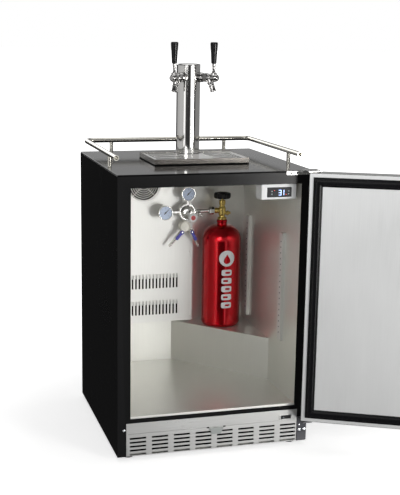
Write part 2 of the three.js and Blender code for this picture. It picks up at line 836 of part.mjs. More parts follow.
// ---------- draft tower ----------
function addTower() {
  const wall = 2;
  const foot = HEIGHT + GAP;
  const shankHoles = [-1, 1].map((side) => alongFaucet(side, 20, 60, 11.6));
  const column = cut(
    rod([TOWER_X, TOWER_Y, foot], [TOWER_X, TOWER_Y, COLUMN_TOP], COLUMN_R, 40),
    rod([TOWER_X, TOWER_Y, foot - 5], [TOWER_X, TOWER_Y, COLUMN_TOP + 5], COLUMN_R - wall, 28),
    ...shankHoles,
  );
  add("tower_column", column, "bright");
  const cap = turned(
    [
      [0, COLUMN_TOP - 8],
      [COLUMN_R - wall - 0.6, COLUMN_TOP - 8],
      [COLUMN_R - wall - 0.6, COLUMN_TOP + GAP],
      [COLUMN_R + 0.4, COLUMN_TOP + GAP],
      [COLUMN_R + 0.4, COLUMN_TOP + 2.5],
      [COLUMN_R - 2, COLUMN_TOP + 4.2],
      [COLUMN_R * 0.6, COLUMN_TOP + 5.6],
      [0, COLUMN_TOP + 6.2],
    ],
    TOWER_X,
    TOWER_Y,
    40,
  );
  add("tower_cap", cap, "bright");
}

// A bar along a faucet's direction, 45 degrees to the left (-1) or right (+1) of the front.
function alongFaucet(side, from, to, radius, sides = 18, endRadius = radius) {
  const start = faucetPoint(side, from, SHANK_Z);
  const end = faucetPoint(side, to, SHANK_Z);
  return rod(start, end, radius, sides, endRadius);
}

function faucetPoint(side, reach, z) {
  return [TOWER_X + side * reach * Math.SQRT1_2, TOWER_Y - reach * Math.SQRT1_2, z];
}

const LEVER_BALL_R = 6;
const SHANK_END = 70;
const FAUCET_FACE = SHANK_END + GAP; // where the faucet meets the shank's nut
const SPOUT_ROOT_REACH = 76;
const SPOUT_TIP_Z = 1078;

function addFaucet(side, name) {
  const columnSpace = rod([TOWER_X, TOWER_Y, 1000], [TOWER_X, TOWER_Y, 1200], COLUMN_R + GAP, 40);
  const collar = cut(alongFaucet(side, 30, 52, 15.5), columnSpace);
  const shank = join(
    alongFaucet(side, 22, 60, 11),
    collar,
    alongFaucet(side, 51.5, 56, 15.5, 18, 12.5),
    alongFaucet(side, 55, SHANK_END, 14, 8),
  );
  add(`faucet_shank_${name}`, shank, "bright");

  // The spout slants down and outwards, and the lever's bonnet stands over its far end.
  const spoutTop = faucetPoint(side, SPOUT_ROOT_REACH, SHANK_Z - 4);
  const spoutTip = faucetPoint(side, FAUCET_REACH, SPOUT_TIP_Z);
  const alongSpout = (share) =>
    spoutTop.map((value, index) => value + (spoutTip[index] - value) * share);
  const bonnetFoot = faucetPoint(side, FAUCET_REACH, SHANK_Z - 6);
  const bonnetTop = faucetPoint(side, FAUCET_REACH, LEVER_PIVOT_Z - 2.5);
  const pivot = faucetPoint(side, FAUCET_REACH, LEVER_PIVOT_Z);
  const faucet = cut(
    join(
      alongFaucet(side, FAUCET_FACE, 101, 12.5),
      alongFaucet(side, 100.5, 108, 12.3, 18, 7.5),
      rod(spoutTop, alongSpout(0.5), 10.5, 16, 7.6),
      rod(alongSpout(0.45), spoutTip, 7.5, 16, 8.2),
      rod(bonnetFoot, bonnetTop, 11, 16, 10),
    ),
    ball(pivot, LEVER_BALL_R + 0.8),
    rod(alongSpout(0.7), alongSpout(1.2), 5.6, 12),
    alongFaucet(side, FAUCET_FACE - 30, FAUCET_FACE, 40),
  );
  add(`faucet_body_${name}`, faucet, "bright");

  const handleFoot = faucetPoint(side, FAUCET_REACH, 1165);
  const lever = join(
    ball(pivot, LEVER_BALL_R),
    rod(pivot, faucetPoint(side, FAUCET_REACH, 1150), 4, 12),
    rod(faucetPoint(side, FAUCET_REACH, 1146), handleFoot, 5.6, 12),
  );
  add(`faucet_lever_${name}`, lever, "bright");

  const [handleX, handleY] = handleFoot;
  const handle = turned(
    [
      [0, 1165 + GAP],
      [7.4, 1165 + GAP],
      [8, 1170],
      [9.6, 1205],
      [11, 1226],
      [10.4, 1230],
      [7, 1231.5],
      [0, 1231.5],
    ],
    handleX,
    handleY,
    16,
  );
  add(`tap_handle_${name}`, handle, "black_plastic");
}

// ---------- drip tray ----------
const GRATE = { columns: 13, rows: 5, pitch: 21.5, hole: 15, notchR: 7 };

// The tray's outline, moved inwards by an offset, with a U-shaped recess round the column.
function trayPlan(offset) {
  const left = TOWER_X - TRAY_WIDTH / 2 + offset;
  const right = TOWER_X + TRAY_WIDTH / 2 - offset;
  const front = TRAY_FRONT + offset;
  const back = TRAY_BACK - offset;
  const recess = COLUMN_R + 2.5 + offset;
  const shape = new THREE.Shape();
  shape.moveTo(left, front);
  shape.lineTo(right, front);
  shape.lineTo(right, back);
  shape.lineTo(TOWER_X + recess, back);
  shape.lineTo(TOWER_X + recess, TOWER_Y);
  shape.absarc(TOWER_X, TOWER_Y, recess, 0, -Math.PI, true);
  shape.lineTo(TOWER_X - recess, back);
  shape.lineTo(left, back);
  return shape;
}

function addDripTray() {
  const ledgeZ = TRAY_TOP - 4;
  const tray = cut(
    slab(trayPlan(0), HEIGHT + GAP, TRAY_TOP),
    slab(trayPlan(1.4), ledgeZ, TRAY_TOP + 1),
    slab(trayPlan(5), HEIGHT + 2, ledgeZ + 1),
  );
  add("drip_tray", tray, "brushed");

  let grate = slab(trayPlan(1.8), ledgeZ + GAP, TRAY_TOP - 0.8);
  const below = ledgeZ - 2;
  const above = TRAY_TOP + 2;
  for (let column = 0; column < GRATE.columns; column++) {
    for (let row = 0; row < GRATE.rows; row++) {
      const x = TOWER_X + (column - (GRATE.columns - 1) / 2) * GRATE.pitch - GRATE.hole / 2;
      const y = TRAY_FRONT + 21 + row * GRATE.pitch - GRATE.hole / 2;
      grate = cut(grate, box(x, y, below, x + GRATE.hole, y + GRATE.hole, above));
    }
  }
  const notchY = (TRAY_FRONT + TRAY_BACK) / 2;
  const notchX = TRAY_WIDTH / 2 - 1.8;
  for (const x of [TOWER_X - notchX, TOWER_X + notchX]) {
    grate = cut(grate, rod([x, notchY, below], [x, notchY, above], GRATE.notchR, 16));
  }
  add("drip_grate", grate, "brushed");
}

// ---------- gas cylinder ----------
const NECK_R = 17;
const SHOULDER_Z = 564;
const SHOULDER_RISE = 52;
const TANK_TOP = 633;
const WHEEL = { r: 30, lobes: 8, lobeDepth: 2.2, z0: 706, z1: 726 };

function addCylinder() {
  const base = HUMP_TOP + GAP;
  const shoulder = [];
  const steps = 7;
  for (let step = 0; step <= steps; step++) {
    const angle = (step / steps) * (Math.PI / 2);
    shoulder.push([
      NECK_R + (TANK_R - NECK_R) * Math.cos(angle),
      SHOULDER_Z + SHOULDER_RISE * Math.sin(angle),
    ]);
  }
  const tank = turned(
    [
      [0, base],
      [TANK_R - 9, base],
      [TANK_R - 2.6, base + 2.6],
      [TANK_R, base + 9],
      ...shoulder,
      [NECK_R, TANK_TOP],
      [0, TANK_TOP],
    ],
    TANK_X,
    TANK_Y,
    32,
  );
  add("co2_cylinder", tank, "red_paint");

  const axis = (z) => [TANK_X, TANK_Y, z];
  const valve = join(
    rod(axis(TANK_TOP + GAP), axis(641), 15, 20),
    rod(axis(640), axis(700), 9.5, 8),
    rod(axis(699), axis(713), 4, 12),
    rod([TANK_X, TANK_Y, OUTLET_Z], [TANK_X - 29, TANK_Y, OUTLET_Z], 9, 16),
    rod([TANK_X, TANK_Y, 655], [TANK_X + 30, TANK_Y, 655], 6.5, 8),
  );
  add("cylinder_valve", valve, "brass");

  const outline = new THREE.Shape();
  const outlineSteps = 48;
  for (let step = 0; step < outlineSteps; step++) {
    const angle = (step / outlineSteps) * 2 * Math.PI;
    const radius = WHEEL.r + WHEEL.lobeDepth * (Math.cos(WHEEL.lobes * angle) - 1);
    const point = [TANK_X + radius * Math.cos(angle), TANK_Y + radius * Math.sin(angle)];
    if (step === 0) {
      outline.moveTo(...point);
    } else {
      outline.lineTo(...point);
    }
  }
  const wheel = cut(slab(outline, WHEEL.z0, WHEEL.z1), rod(axis(700), axis(714), 4 + GAP, 12));
  add("valve_handwheel", wheel, "black_plastic");
}

// ---------- regulator ----------
const BODY = { x: 34, z: OUTLET_Z, front: 149, back: 181, r: 30 };
const GAUGES = [
  { name: "left", x: -43.5, z: 666, r: 24.8 },
  { name: "top", x: 35.5, z: 728, r: 24.2 },
];
const GAUGE_FRONT = 140;
const SHUTOFFS = [
  { name: "left", pivot: [15.5, 596], tip: [-27, 548] },
  { name: "right", pivot: [51, 596], tip: [77, 545] },
];
const LEVER_LENGTH = 34;

function addRegulator() {
  const y = TANK_Y;
  const gaugeMiddle = GAUGE_FRONT + 14;
  const body = turnedToFront(
    [
      [0, -16],
      [BODY.r, -16],
      [BODY.r, 13],
      [BODY.r - 3, 16],
      [BODY.r - 7, 16],
      [BODY.r - 9, 13],
      [0, 13],
    ],
    BODY.x,
    y,
    BODY.z,
    28,
  );
  const inlet = join(
    rod([BODY.x + 20, y, OUTLET_Z], [120, y, OUTLET_Z], 5.5, 16),
    rod([114, y, OUTLET_Z], [TANK_X - 29 - GAP, y, OUTLET_Z], 13.5, 6),
  );
  const relief = rod([78, y, OUTLET_Z], [78, 151, OUTLET_Z - 4], 4, 12);
  const manifold = join(
    rod([28, 149, 615], [28, 176, 615], 19.5, 24),
    rod([28, y, 612], [BODY.x, y, 645], 8, 16),
  );
  const ports = join(
    rod([-26, gaugeMiddle, 666], [8, gaugeMiddle, 666], 5.5, 6),
    rod([35.5, gaugeMiddle, 690], [35.5, gaugeMiddle, 709], 5.5, 6),
  );
  const valves = [];
  for (const { pivot, tip } of SHUTOFFS) {
    const [px, pz] = pivot;
    const [tx, tz] = tip;
    const along = (share) => [px + (tx - px) * share, 158, pz + (tz - pz) * share];
    valves.push(rod([28, 160, 612], along(0.05), 6, 12));
    valves.push(rod(along(-0.12), along(0.42), 7.5, 12));
    valves.push(rod(along(0.4), along(1), 4, 10));
    valves.push(rod(along(0.75), along(0.86), 5.2, 10, 4));
    valves.push(rod([px, 158, pz], [px, 149, pz], 5, 12));
  }
  let regulator = join(body, inlet, relief, manifold, ports, ...valves);
  for (const gauge of GAUGES) {
    regulator = cut(
      regulator,
      rod([gauge.x, GAUGE_FRONT, gauge.z], [gauge.x, GAUGE_FRONT + 28, gauge.z], gauge.r + GAP, 28),
    );
  }
  add("regulator_body", regulator, "bright");

  for (const { name, x, z, r } of GAUGES) {
    const gaugeCase = turnedToFront(
      [
        [0, -12],
        [r - 3, -12],
        [r, -9],
        [r, 14],
        [r - 2.2, 14],
        [r - 2.2, 9],
        [0, 9],
      ],
      x,
      gaugeMiddle,
      z,
      28,
    );
    add(`gauge_${name}`, gaugeCase, "dial");
    const needle = new THREE.BoxGeometry(2, 1, r * 0.95);
    needle.translate(0, 0, r * 0.18);
    needle.rotateY(Math.PI / 4);
    needle.translate(x, GAUGE_FRONT + 2.8, z);
    const hub = rod([x, GAUGE_FRONT + 4.4, z], [x, GAUGE_FRONT + 2, z], 2.6, 12);
    add(`gauge_needle_${name}`, join(solid(needle), hub), "needle");
  }

  const knob = join(
    turnedToFront(
      [
        [0, 0],
        [14, 0],
        [15.5, 2],
        [15.5, 11],
        [13.5, 14],
        [6, 14.6],
        [0, 14.6],
      ],
      50,
      144,
      648,
      24,
    ),
    rod([50, 143, 648], [50, 152 - GAP - 0.2, 648], 4, 12),
  );
  add("adjusting_knob", cut(knob, box(30, 149 - GAP, 630, 70, 160, 670)), "white_plastic");

  const ringMiddle = 655;
  const ring = new THREE.TorusGeometry(6.6, 1.2, 6, 16);
  ring.rotateX(Math.PI / 2);
  ring.translate(78, 146, ringMiddle);
  const pin = rod([78, 151 - GAP - 0.2, OUTLET_Z - 4.5], [78, 145, OUTLET_Z - 4.5], 1.8, 10);
  add("relief_ring", join(solid(ring), pin), "bright");

  for (const { name, pivot, tip } of SHUTOFFS) {
    const [px, pz] = pivot;
    const angle = Math.atan2(tip[1] - pz, tip[0] - px);
    const plate = new THREE.Shape();
    plate.absarc(0, 0, 6.5, Math.PI / 2, (3 * Math.PI) / 2, false);
    plate.lineTo(LEVER_LENGTH, -4.5);
    plate.lineTo(LEVER_LENGTH, 4.5);
    const geometry = new THREE.ExtrudeGeometry(plate, {
      depth: 3.4,
      bevelEnabled: false,
      curveSegments: 8,
    });
    geometry.rotateX(Math.PI / 2);
    geometry.rotateY(-angle);
    geometry.translate(px, 148.4, pz);
    add(`shutoff_lever_${name}`, solid(geometry), "blue_plastic");
  }
}

// ---------- door ----------
const HANDLE = { inset: 42, standOff: 44, barR: 9.5, postR: 7, overhang: 30, posts: [430, 800] };

// Built closed, round the hinge axis as origin, and then swung open as one group.
function addDoor() {
  const door = new THREE.Group();
  door.position.set(HINGE_X, HINGE_Y, 0);
  door.rotation.z = THREE.MathUtils.degToRad(DOOR_OPEN_DEG);
  kegerator.add(door);

  const left = -HALF_WIDTH - HINGE_X;
  const right = HALF_WIDTH - HINGE_X;
  const inner = DOOR_INNER - HINGE_Y;
  const outer = DOOR_OUTER - HINGE_Y;
  const sheet = 1.5;
  const flange = 12;
  const gasketWidth = 27.5;
  const panelEdge = flange + gasketWidth + 0.5;
  const bores = [
    rod([0, 0, DOOR_BOTTOM - 5], [0, 0, DOOR_BOTTOM + PIN_DEPTH + 2], PIN_BORE_R, 20),
    rod([0, 0, DOOR_TOP + 5], [0, 0, DOOR_TOP - PIN_DEPTH - 2], PIN_BORE_R, 20),
  ];

  const skin = cut(
    box(left, outer, DOOR_BOTTOM, right, inner, DOOR_TOP),
    box(
      left + sheet,
      outer + sheet,
      DOOR_BOTTOM + sheet,
      right - sheet,
      inner - sheet,
      DOOR_TOP - sheet,
    ),
    box(left + flange, inner - 5, DOOR_BOTTOM + flange, right - flange, inner + 5, DOOR_TOP - flange),
    ...bores,
  );
  add("door_skin", skin, "brushed", door);

  // The inner panel is a sheet behind the return flange, pressed out in the middle.
  const tight = sheet + GAP;
  const panelSheet = 1.2;
  const panelBack = inner - tight - panelSheet;
  const panelRise = inner + 1.5;
  const pressed = (offset, y0, y1) =>
    box(
      left + panelEdge + offset,
      y0,
      DOOR_BOTTOM + panelEdge + offset,
      right - panelEdge - offset,
      y1,
      DOOR_TOP - panelEdge - offset,
    );
  const filling = (y0, y1) =>
    box(left + tight, y0, DOOR_BOTTOM + tight, right - tight, y1, DOOR_TOP - tight);
  const panel = cut(
    join(filling(panelBack, inner - tight), pressed(0, inner - 3, panelRise)),
    pressed(panelSheet, panelBack - 1, panelRise - panelSheet),
  );
  add("door_inner_panel", panel, "brushed", door);
  add("door_foam", cut(filling(outer + tight, panelBack - GAP), ...bores), "foam", door);

  const ringOut = flange + GAP;
  const ringIn = flange + gasketWidth;
  const gasketBack = inner - tight + GAP;
  const ringBox = (inset, y0, y1) =>
    box(left + inset, y0, DOOR_BOTTOM + inset, right - inset, y1, DOOR_TOP - inset);
  const gasketRing = cut(
    ringBox(ringOut, gasketBack, inner + 10),
    ringBox(ringIn, gasketBack - 1, inner + 11),
  );
  // The magnet bulge stands proud only along the middle of the strip.
  const step = 7;
  const lowerRim = cut(
    ringBox(0, inner + 4, inner + 12),
    ringBox(ringOut + step, inner, inner + 13),
  );
  add("door_gasket", cut(gasketRing, lowerRim), "rubber", door);

  const handleX = left + HANDLE.inset;
  const handleY = outer - HANDLE.standOff;
  const { barR, postR, overhang, posts } = HANDLE;
  const bar = rod(
    [handleX, handleY, posts[0] - overhang],
    [handleX, handleY, posts[1] + overhang],
    barR,
    20,
  );
  const standoffs = posts.map((z) =>
    rod([handleX, handleY, z], [handleX, outer - GAP, z], postR, 16),
  );
  add("door_handle", join(bar, ...standoffs), "brushed", door);
}

addCabinet();
addKick();
addHinges();
addMachinery();
addEvaporator();
addController();
addRear();
addGuardRail();
addTower();
addFaucet(-1, "left");
addFaucet(1, "right");
addDripTray();
addCylinder();
addRegulator();
addDoor();

export default kegerator;
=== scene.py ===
"""The looks of the under-counter kegerator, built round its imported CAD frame."""

import json
import math

import bmesh
import bpy
from mathutils import Matrix, Vector


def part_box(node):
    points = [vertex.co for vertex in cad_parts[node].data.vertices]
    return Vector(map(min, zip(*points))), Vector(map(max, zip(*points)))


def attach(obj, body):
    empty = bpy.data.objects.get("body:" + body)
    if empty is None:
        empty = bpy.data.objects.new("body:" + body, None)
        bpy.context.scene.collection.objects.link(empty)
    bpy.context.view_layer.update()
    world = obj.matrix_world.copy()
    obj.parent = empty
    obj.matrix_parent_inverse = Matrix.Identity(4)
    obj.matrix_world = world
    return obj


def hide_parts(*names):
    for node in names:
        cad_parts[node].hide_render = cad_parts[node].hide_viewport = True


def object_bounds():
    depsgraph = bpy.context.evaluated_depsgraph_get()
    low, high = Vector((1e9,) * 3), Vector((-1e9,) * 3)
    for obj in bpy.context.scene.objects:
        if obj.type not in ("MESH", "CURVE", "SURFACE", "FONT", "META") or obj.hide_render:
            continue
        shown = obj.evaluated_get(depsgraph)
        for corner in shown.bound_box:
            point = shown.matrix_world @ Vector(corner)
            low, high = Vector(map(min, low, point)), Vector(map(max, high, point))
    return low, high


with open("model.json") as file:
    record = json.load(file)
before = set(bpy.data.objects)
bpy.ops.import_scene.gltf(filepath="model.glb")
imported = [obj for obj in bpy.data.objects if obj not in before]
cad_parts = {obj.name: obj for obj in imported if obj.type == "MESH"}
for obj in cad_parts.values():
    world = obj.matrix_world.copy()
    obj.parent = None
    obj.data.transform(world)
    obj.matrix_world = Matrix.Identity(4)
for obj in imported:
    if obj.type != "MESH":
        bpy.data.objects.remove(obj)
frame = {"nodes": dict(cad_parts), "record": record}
cad_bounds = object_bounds()

NODES = frame["nodes"]
RECORD = frame["record"]
BODY_OF = {node: body for body, nodes in RECORD["behaviour"]["bodies"].items() for node in nodes}
JOINTS = {joint["name"]: joint for joint in RECORD["behaviour"]["joints"]}
MM = 0.001
WELD = 1e-6
INK_DEPTH = 0.00008
UP = Vector((0, 0, 1))
FRONTWARD = Vector((0, -1, 0))
END_BORE_DEPTH = 0.025
FRONT_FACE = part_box("cabinet_wrapper")[0].y
BACK_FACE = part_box("cabinet_wrapper")[1].y
ROOM_HALF = 0.263
RIB_DEPTH = 0.0092
RIB_MIDDLE = 0.469
GUARD_RINGS = 8
GUARD_RADIUS = 0.0588
DIAL_STEPS = 30
DIAL_START = 225
DIAL_SWEEP = 270


# ---------- procedural materials ----------
class Graph:
    """A small helper that adds and links shader nodes."""

    def __init__(self, tree):
        self.tree = tree

    def node(self, kind, inputs=(), **settings):
        made = self.tree.nodes.new(kind)
        for key, value in settings.items():
            setattr(made, key, value)
        for key, value in dict(inputs).items():
            if isinstance(value, bpy.types.NodeSocket):
                self.tree.links.new(value, made.inputs[key])
            else:
                made.inputs[key].default_value = value
        return made

    def noise(self, vector, scale, detail=4.0, roughness=0.55):
        inputs = {"Vector": vector, "Scale": scale, "Detail": detail, "Roughness": roughness}
        return self.node("ShaderNodeTexNoise", inputs).outputs["Fac"]

    def spread(self, value, low, high, from_low=0.3, from_high=0.7):
        inputs = {
            "Value": value,
            "From Min": from_low,
            "From Max": from_high,
            "To Min": low,
            "To Max": high,
        }
        return self.node("ShaderNodeMapRange", inputs).outputs["Result"]

    def mix(self, factor, first, second):
        made = self.node("ShaderNodeMix", data_type="RGBA")
        for index, value in ((0, factor), (6, first), (7, second)):
            if isinstance(value, bpy.types.NodeSocket):
                self.tree.links.new(value, made.inputs[index])
            else:
                made.inputs[index].default_value = value
        return made.outputs[2]


def rgba(colour):
    """A colour with full opacity."""
    return (*colour, 1.0)


def shade(colour, amount):
    """A colour made darker or lighter."""
    return tuple(min(1.0, channel * amount) for channel in colour)


def surface(
    name,
    colour,
    roughness,
    metallic=0.0,
    grain=90,
    vary=0.06,
    rough_spread=0.08,
    bump=3e-5,
    cloud=6.0,
    cloud_vary=0.05,
    edge_highlight=None,
    coat=0.0,
    specular=0.5,
):
    """A finish with fine grain, broad tone variation, uneven gloss and a painted highlight: sharp edges
    made lighter.
    """
    made = bpy.data.materials.new(name)
    made.use_nodes = True
    made.diffuse_color = rgba(colour)
    graph = Graph(made.node_tree)
    shader = made.node_tree.nodes["Principled BSDF"]
    place = graph.node("ShaderNodeTexCoord").outputs["Object"]
    scale = grain if isinstance(grain, tuple) else (grain,) * 3
    stretched = graph.node("ShaderNodeMapping", {"Vector": place, "Scale": scale}).outputs["Vector"]
    fine = graph.noise(stretched, 1.0, 5.0)
    broad = graph.noise(place, cloud, 3.0)
    darker, lighter = rgba(shade(colour, 1 - vary)), rgba(shade(colour, 1 + vary))
    fine_tone = graph.mix(graph.spread(fine, 0, 1), darker, lighter)
    dull = rgba(shade(colour, 1 - 2 * cloud_vary))
    tone = graph.mix(graph.spread(broad, 0, 0.5), fine_tone, dull)
    # Painted highlight: a lighter colour mixed in where pointiness finds sharp edges.
    if edge_highlight is not None:
        edge = graph.node("ShaderNodeNewGeometry").outputs["Pointiness"]
        tone = graph.mix(graph.spread(edge, 0, 0.8, 0.52, 0.62), tone, rgba(edge_highlight))
    uneven = graph.spread(fine, -rough_spread, rough_spread)
    patchy = graph.spread(broad, roughness, roughness * 1.25)
    gloss = graph.node("ShaderNodeMath", {0: uneven, 1: patchy}, operation="ADD", use_clamp=True)
    relief = graph.node("ShaderNodeBump", {"Height": fine, "Distance": bump, "Strength": 1.0})
    links = made.node_tree.links
    links.new(tone, shader.inputs["Base Color"])
    links.new(gloss.outputs[0], shader.inputs["Roughness"])
    links.new(relief.outputs[0], shader.inputs["Normal"])
    shader.inputs["Metallic"].default_value = metallic
    shader.inputs["Coat Weight"].default_value = coat
    shader.inputs["Coat Roughness"].default_value = 0.05
    shader.inputs["Specular IOR Level"].default_value = specular
    return made


def glowing(name, colour, strength):
    """A finish that gives off its own light."""
    made = surface(name, colour, 0.3, bump=5e-6)
    shader = made.node_tree.nodes["Principled BSDF"]
    shader.inputs["Emission Color"].default_value = rgba(colour)
    shader.inputs["Emission Strength"].default_value = strength
    return made


VERTICAL_GRAIN = (700, 700, 9)
CROSS_GRAIN = (9, 700, 700)
PAINT = {
    "cabinet": surface(
        "cabinet_paint", (0.004, 0.004, 0.0042), 0.2, grain=900, bump=1e-5, rough_spread=0.04,
        # Painted highlight colour for the black paint's sharp edges.
        edge_highlight=(0.01, 0.01, 0.011), specular=0.1
    ),
    "top": surface(
        "top_paint", (0.005, 0.005, 0.0055), 0.1, grain=500, bump=6e-6, rough_spread=0.03, specular=0.12
    ),
    "liner": surface(
        "liner_steel", (0.82, 0.82, 0.78), 0.34, 0.78, VERTICAL_GRAIN, 0.03, 0.04, 2e-6, cloud=3.0
    ),
    "cover": surface(
        "cover_steel", (0.8, 0.8, 0.78), 0.42, 0.4, VERTICAL_GRAIN, 0.03, 0.04, 2e-6, cloud=3.0
    ),
    "kick": surface("kick_steel", (0.6, 0.6, 0.59), 0.3, 1.0, CROSS_GRAIN, 0.07, 0.06, 1.2e-5),
    "door_panel": surface(
        "door_panel_steel", (0.93, 0.94, 0.94), 0.4, 0.7, VERTICAL_GRAIN, 0.03, 0.04, 2e-6, cloud=2.0
    ),
    "door_skin": surface(
        "door_steel", (0.46, 0.46, 0.45), 0.26, 1.0, CROSS_GRAIN, 0.06, 0.05, 1e-5, cloud=2.0
    ),
    "chrome": surface(
        "polished_chrome", (0.8, 0.79, 0.77), 0.07, 1.0, 300, 0.02, 0.02, 2e-7, cloud=14.0
    ),
    # The faucets' polished chrome, painted darker than the column's chrome: painted shade.
    "shaded_faucet_chrome": surface(
        "shaded_faucet_chrome", (0.5, 0.49, 0.48), 0.08, 1.0, 300, 0.04, 0.03, 6e-7, cloud=20.0
    ),
    "rail": surface("rail_steel", (0.66, 0.64, 0.58), 0.16, 1.0, 300, 0.03, 0.03, 1e-6, cloud=10.0),
    # The tray's stainless steel, painted much darker than the grate's steel: painted shade standing for
    # the dark it mirrors.
    "tray": surface("shaded_tray_steel", (0.175, 0.163, 0.15), 0.22, 1.0, CROSS_GRAIN, 0.05, 0.05, 3e-6),
    "zinc": surface(
        "zinc_plate", (0.62, 0.62, 0.58), 0.36, 1.0, 260, 0.16, 0.12, 2e-5, cloud=40.0, cloud_vary=0.15
    ),
    "dark_steel": surface(
        # Painted highlight colour for the dark steel's sharp edges.
        "dark_steel", (0.055, 0.055, 0.065), 0.45, 0.3, 600, 0.1, 0.08, 4e-5, edge_highlight=(0.25, 0.25, 0.26)
    ),
    "fins": surface("aluminium_fins", (0.62, 0.63, 0.64), 0.4, 1.0, 300, 0.1, 0.08, 2e-5),
    "black_plastic": surface(
        "black_plastic", (0.009, 0.009, 0.01), 0.34, grain=700, bump=4e-5, specular=0.3
    ),
    "handle": surface("handle_resin", (0.004, 0.004, 0.005), 0.22, grain=200, bump=1e-5, specular=0.25),
    "white_plastic": surface("white_plastic", (0.78, 0.79, 0.8), 0.4, grain=900, vary=0.02),
    "display": surface(
        "display_window", (0.006, 0.007, 0.01), 0.3, grain=300, bump=4e-6, specular=0.12
    ),
    "rubber": surface("gasket_rubber", (0.006, 0.006, 0.007), 0.2, grain=400, bump=1e-5, specular=0.22),
    "foam": surface("foam", (0.66, 0.56, 0.32), 0.9, grain=300, vary=0.15, bump=0.0004),
    "brass": surface("brass", (0.7, 0.52, 0.16), 0.22, 1.0, 350, 0.12, 0.08, 3e-5, cloud=60.0),
    "tank": surface("tank_paint", (0.6, 0.002, 0.01), 0.21, 0.98, 900, 0.08, 0.04, 4e-6, coat=0.5),
    "blue": surface("blue_vinyl", (0.045, 0.04, 0.42), 0.35, grain=500, bump=4e-5),
    "dial": surface("dial_face", (0.56, 0.66, 0.86), 0.35, grain=300, vary=0.02, bump=5e-6),
    "ink": surface("dial_ink", (0.02, 0.02, 0.03), 0.5, grain=300),
    "red_plastic": surface("red_plastic", (0.6, 0.03, 0.03), 0.3, grain=500),
    "cream": surface("cast_nickel", (0.76, 0.74, 0.67), 0.36, 0.2, 300, 0.08, 0.08, 4e-5),
    "decal": surface("white_decal", (0.96, 0.96, 0.98), 0.35, grain=600, vary=0.02),
    # Black used only as painted shade: sheets, strips and tubes put where the object shows shade.
    "shadow": surface("painted_shade_black", (0.004, 0.004, 0.004), 0.7, grain=300, specular=0.1),
    "catch": surface("catch_steel", (0.4, 0.42, 0.41), 0.34, 1.0, 260, 0.06, 0.08, 2e-5),
    "wire": surface("guard_wire", (0.92, 0.92, 0.9), 0.35, 0.0, 300, 0.05, 0.06, 1e-5),
    "zinc_bright": surface(
        "zinc_bright", (0.4, 0.4, 0.39), 0.22, 1.0, 120, 0.4, 0.14, 8e-5, cloud=90.0, cloud_vary=0.3
    ),
    "bright_screw": surface("bright_screw", (0.85, 0.87, 0.9), 0.22, 1.0, 500, 0.05, 0.06, 2e-5),
    "grate": surface("grate_steel", (0.82, 0.82, 0.8), 0.1, 1.0, 300, 0.04, 0.03, 1e-6),
    "button": surface("button_plastic", (0.55, 0.62, 0.66), 0.4, grain=500, vary=0.04),
    "digits": glowing("display_digits", (0.45, 0.6, 1.0), 2.2),
    "red_light": glowing("red_light", (1.0, 0.05, 0.06), 1.6),
}


# ---------- meshes ----------
def mesh_from(build, turn_outwards=True):
    """Runs a function that fills a bmesh, and returns the finished mesh."""
    work = bmesh.new()
    build(work)
    if turn_outwards:
        bmesh.ops.recalc_face_normals(work, faces=work.faces)
    mesh = bpy.data.meshes.new("piece")
    work.to_mesh(mesh)
    work.free()
    return mesh


def joined(*meshes):
    """Several meshes as one."""

    def build(work):
        for mesh in meshes:
            work.from_mesh(mesh)

    return mesh_from(build, turn_outwards=False)


def evaluated_mesh(data, prepare=None):
    """The mesh that a curve, a text or a mesh becomes, once prepare has added its modifiers."""
    holder = bpy.data.objects.new("holder", data)
    bpy.context.scene.collection.objects.link(holder)
    if prepare:
        prepare(holder)
    bpy.context.view_layer.update()
    evaluated = holder.evaluated_get(bpy.context.evaluated_depsgraph_get())
    mesh = bpy.data.meshes.new_from_object(evaluated)
    bpy.data.objects.remove(holder)
    return mesh


def bridge(work, first, second):
    """Faces between two rings of vertices; a ring of one vertex is a point where they meet."""
    count = max(len(first), len(second))
    for index in range(count):
        after = (index + 1) % count
        corners = [first[index % len(first)], first[after % len(first)]]
        corners += [second[after % len(second)], second[index % len(second)]]
        unique = list(dict.fromkeys(corners))
        if len(unique) > 2:
            work.faces.new(unique)


def show(name, mesh, paint, body, stands_for=(), smooth=35):
    """Puts a mesh in the scene as a named piece that rides on a body."""
    obj = bpy.data.objects.new(name, mesh)
    bpy.context.scene.collection.objects.link(obj)
    mesh.materials.clear()
    mesh.materials.append(PAINT[paint])
    mesh.polygons.foreach_set("use_smooth", [True] * len(mesh.polygons))
    mesh.set_sharp_from_angle(angle=math.radians(smooth))
    # Flat faces keep their own normals, and the rounded edges blend between them.
    normals = obj.modifiers.new("normals", "WEIGHTED_NORMAL")
    normals.keep_sharp = True
    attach(obj, body)
    if stands_for:
        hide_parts(*stands_for)
    return obj


def instead(node, mesh, paint, also=(), smooth=35, name=None):
    """A finer mesh in place of a CAD node."""
    return show(name or f"{node}_skin", mesh, paint, BODY_OF[node], (node, *also), smooth)


def detail(name, mesh, paint, node, slot=None, smooth=35):
    """A small extra piece that goes with a CAD node."""
    return show(name, mesh, paint, BODY_OF[node], smooth=smooth)


def bevelled(mesh, width, segments=2, angle=30):
    """The same mesh with its sharp edges rounded."""

    def prepare(holder):
        modifier = holder.modifiers.new("bevel", "BEVEL")
        modifier.width = width
        modifier.segments = segments
        modifier.limit_method = "ANGLE"
        modifier.angle_limit = math.radians(angle)
        modifier.use_clamp_overlap = True

    return evaluated_mesh(mesh, prepare)


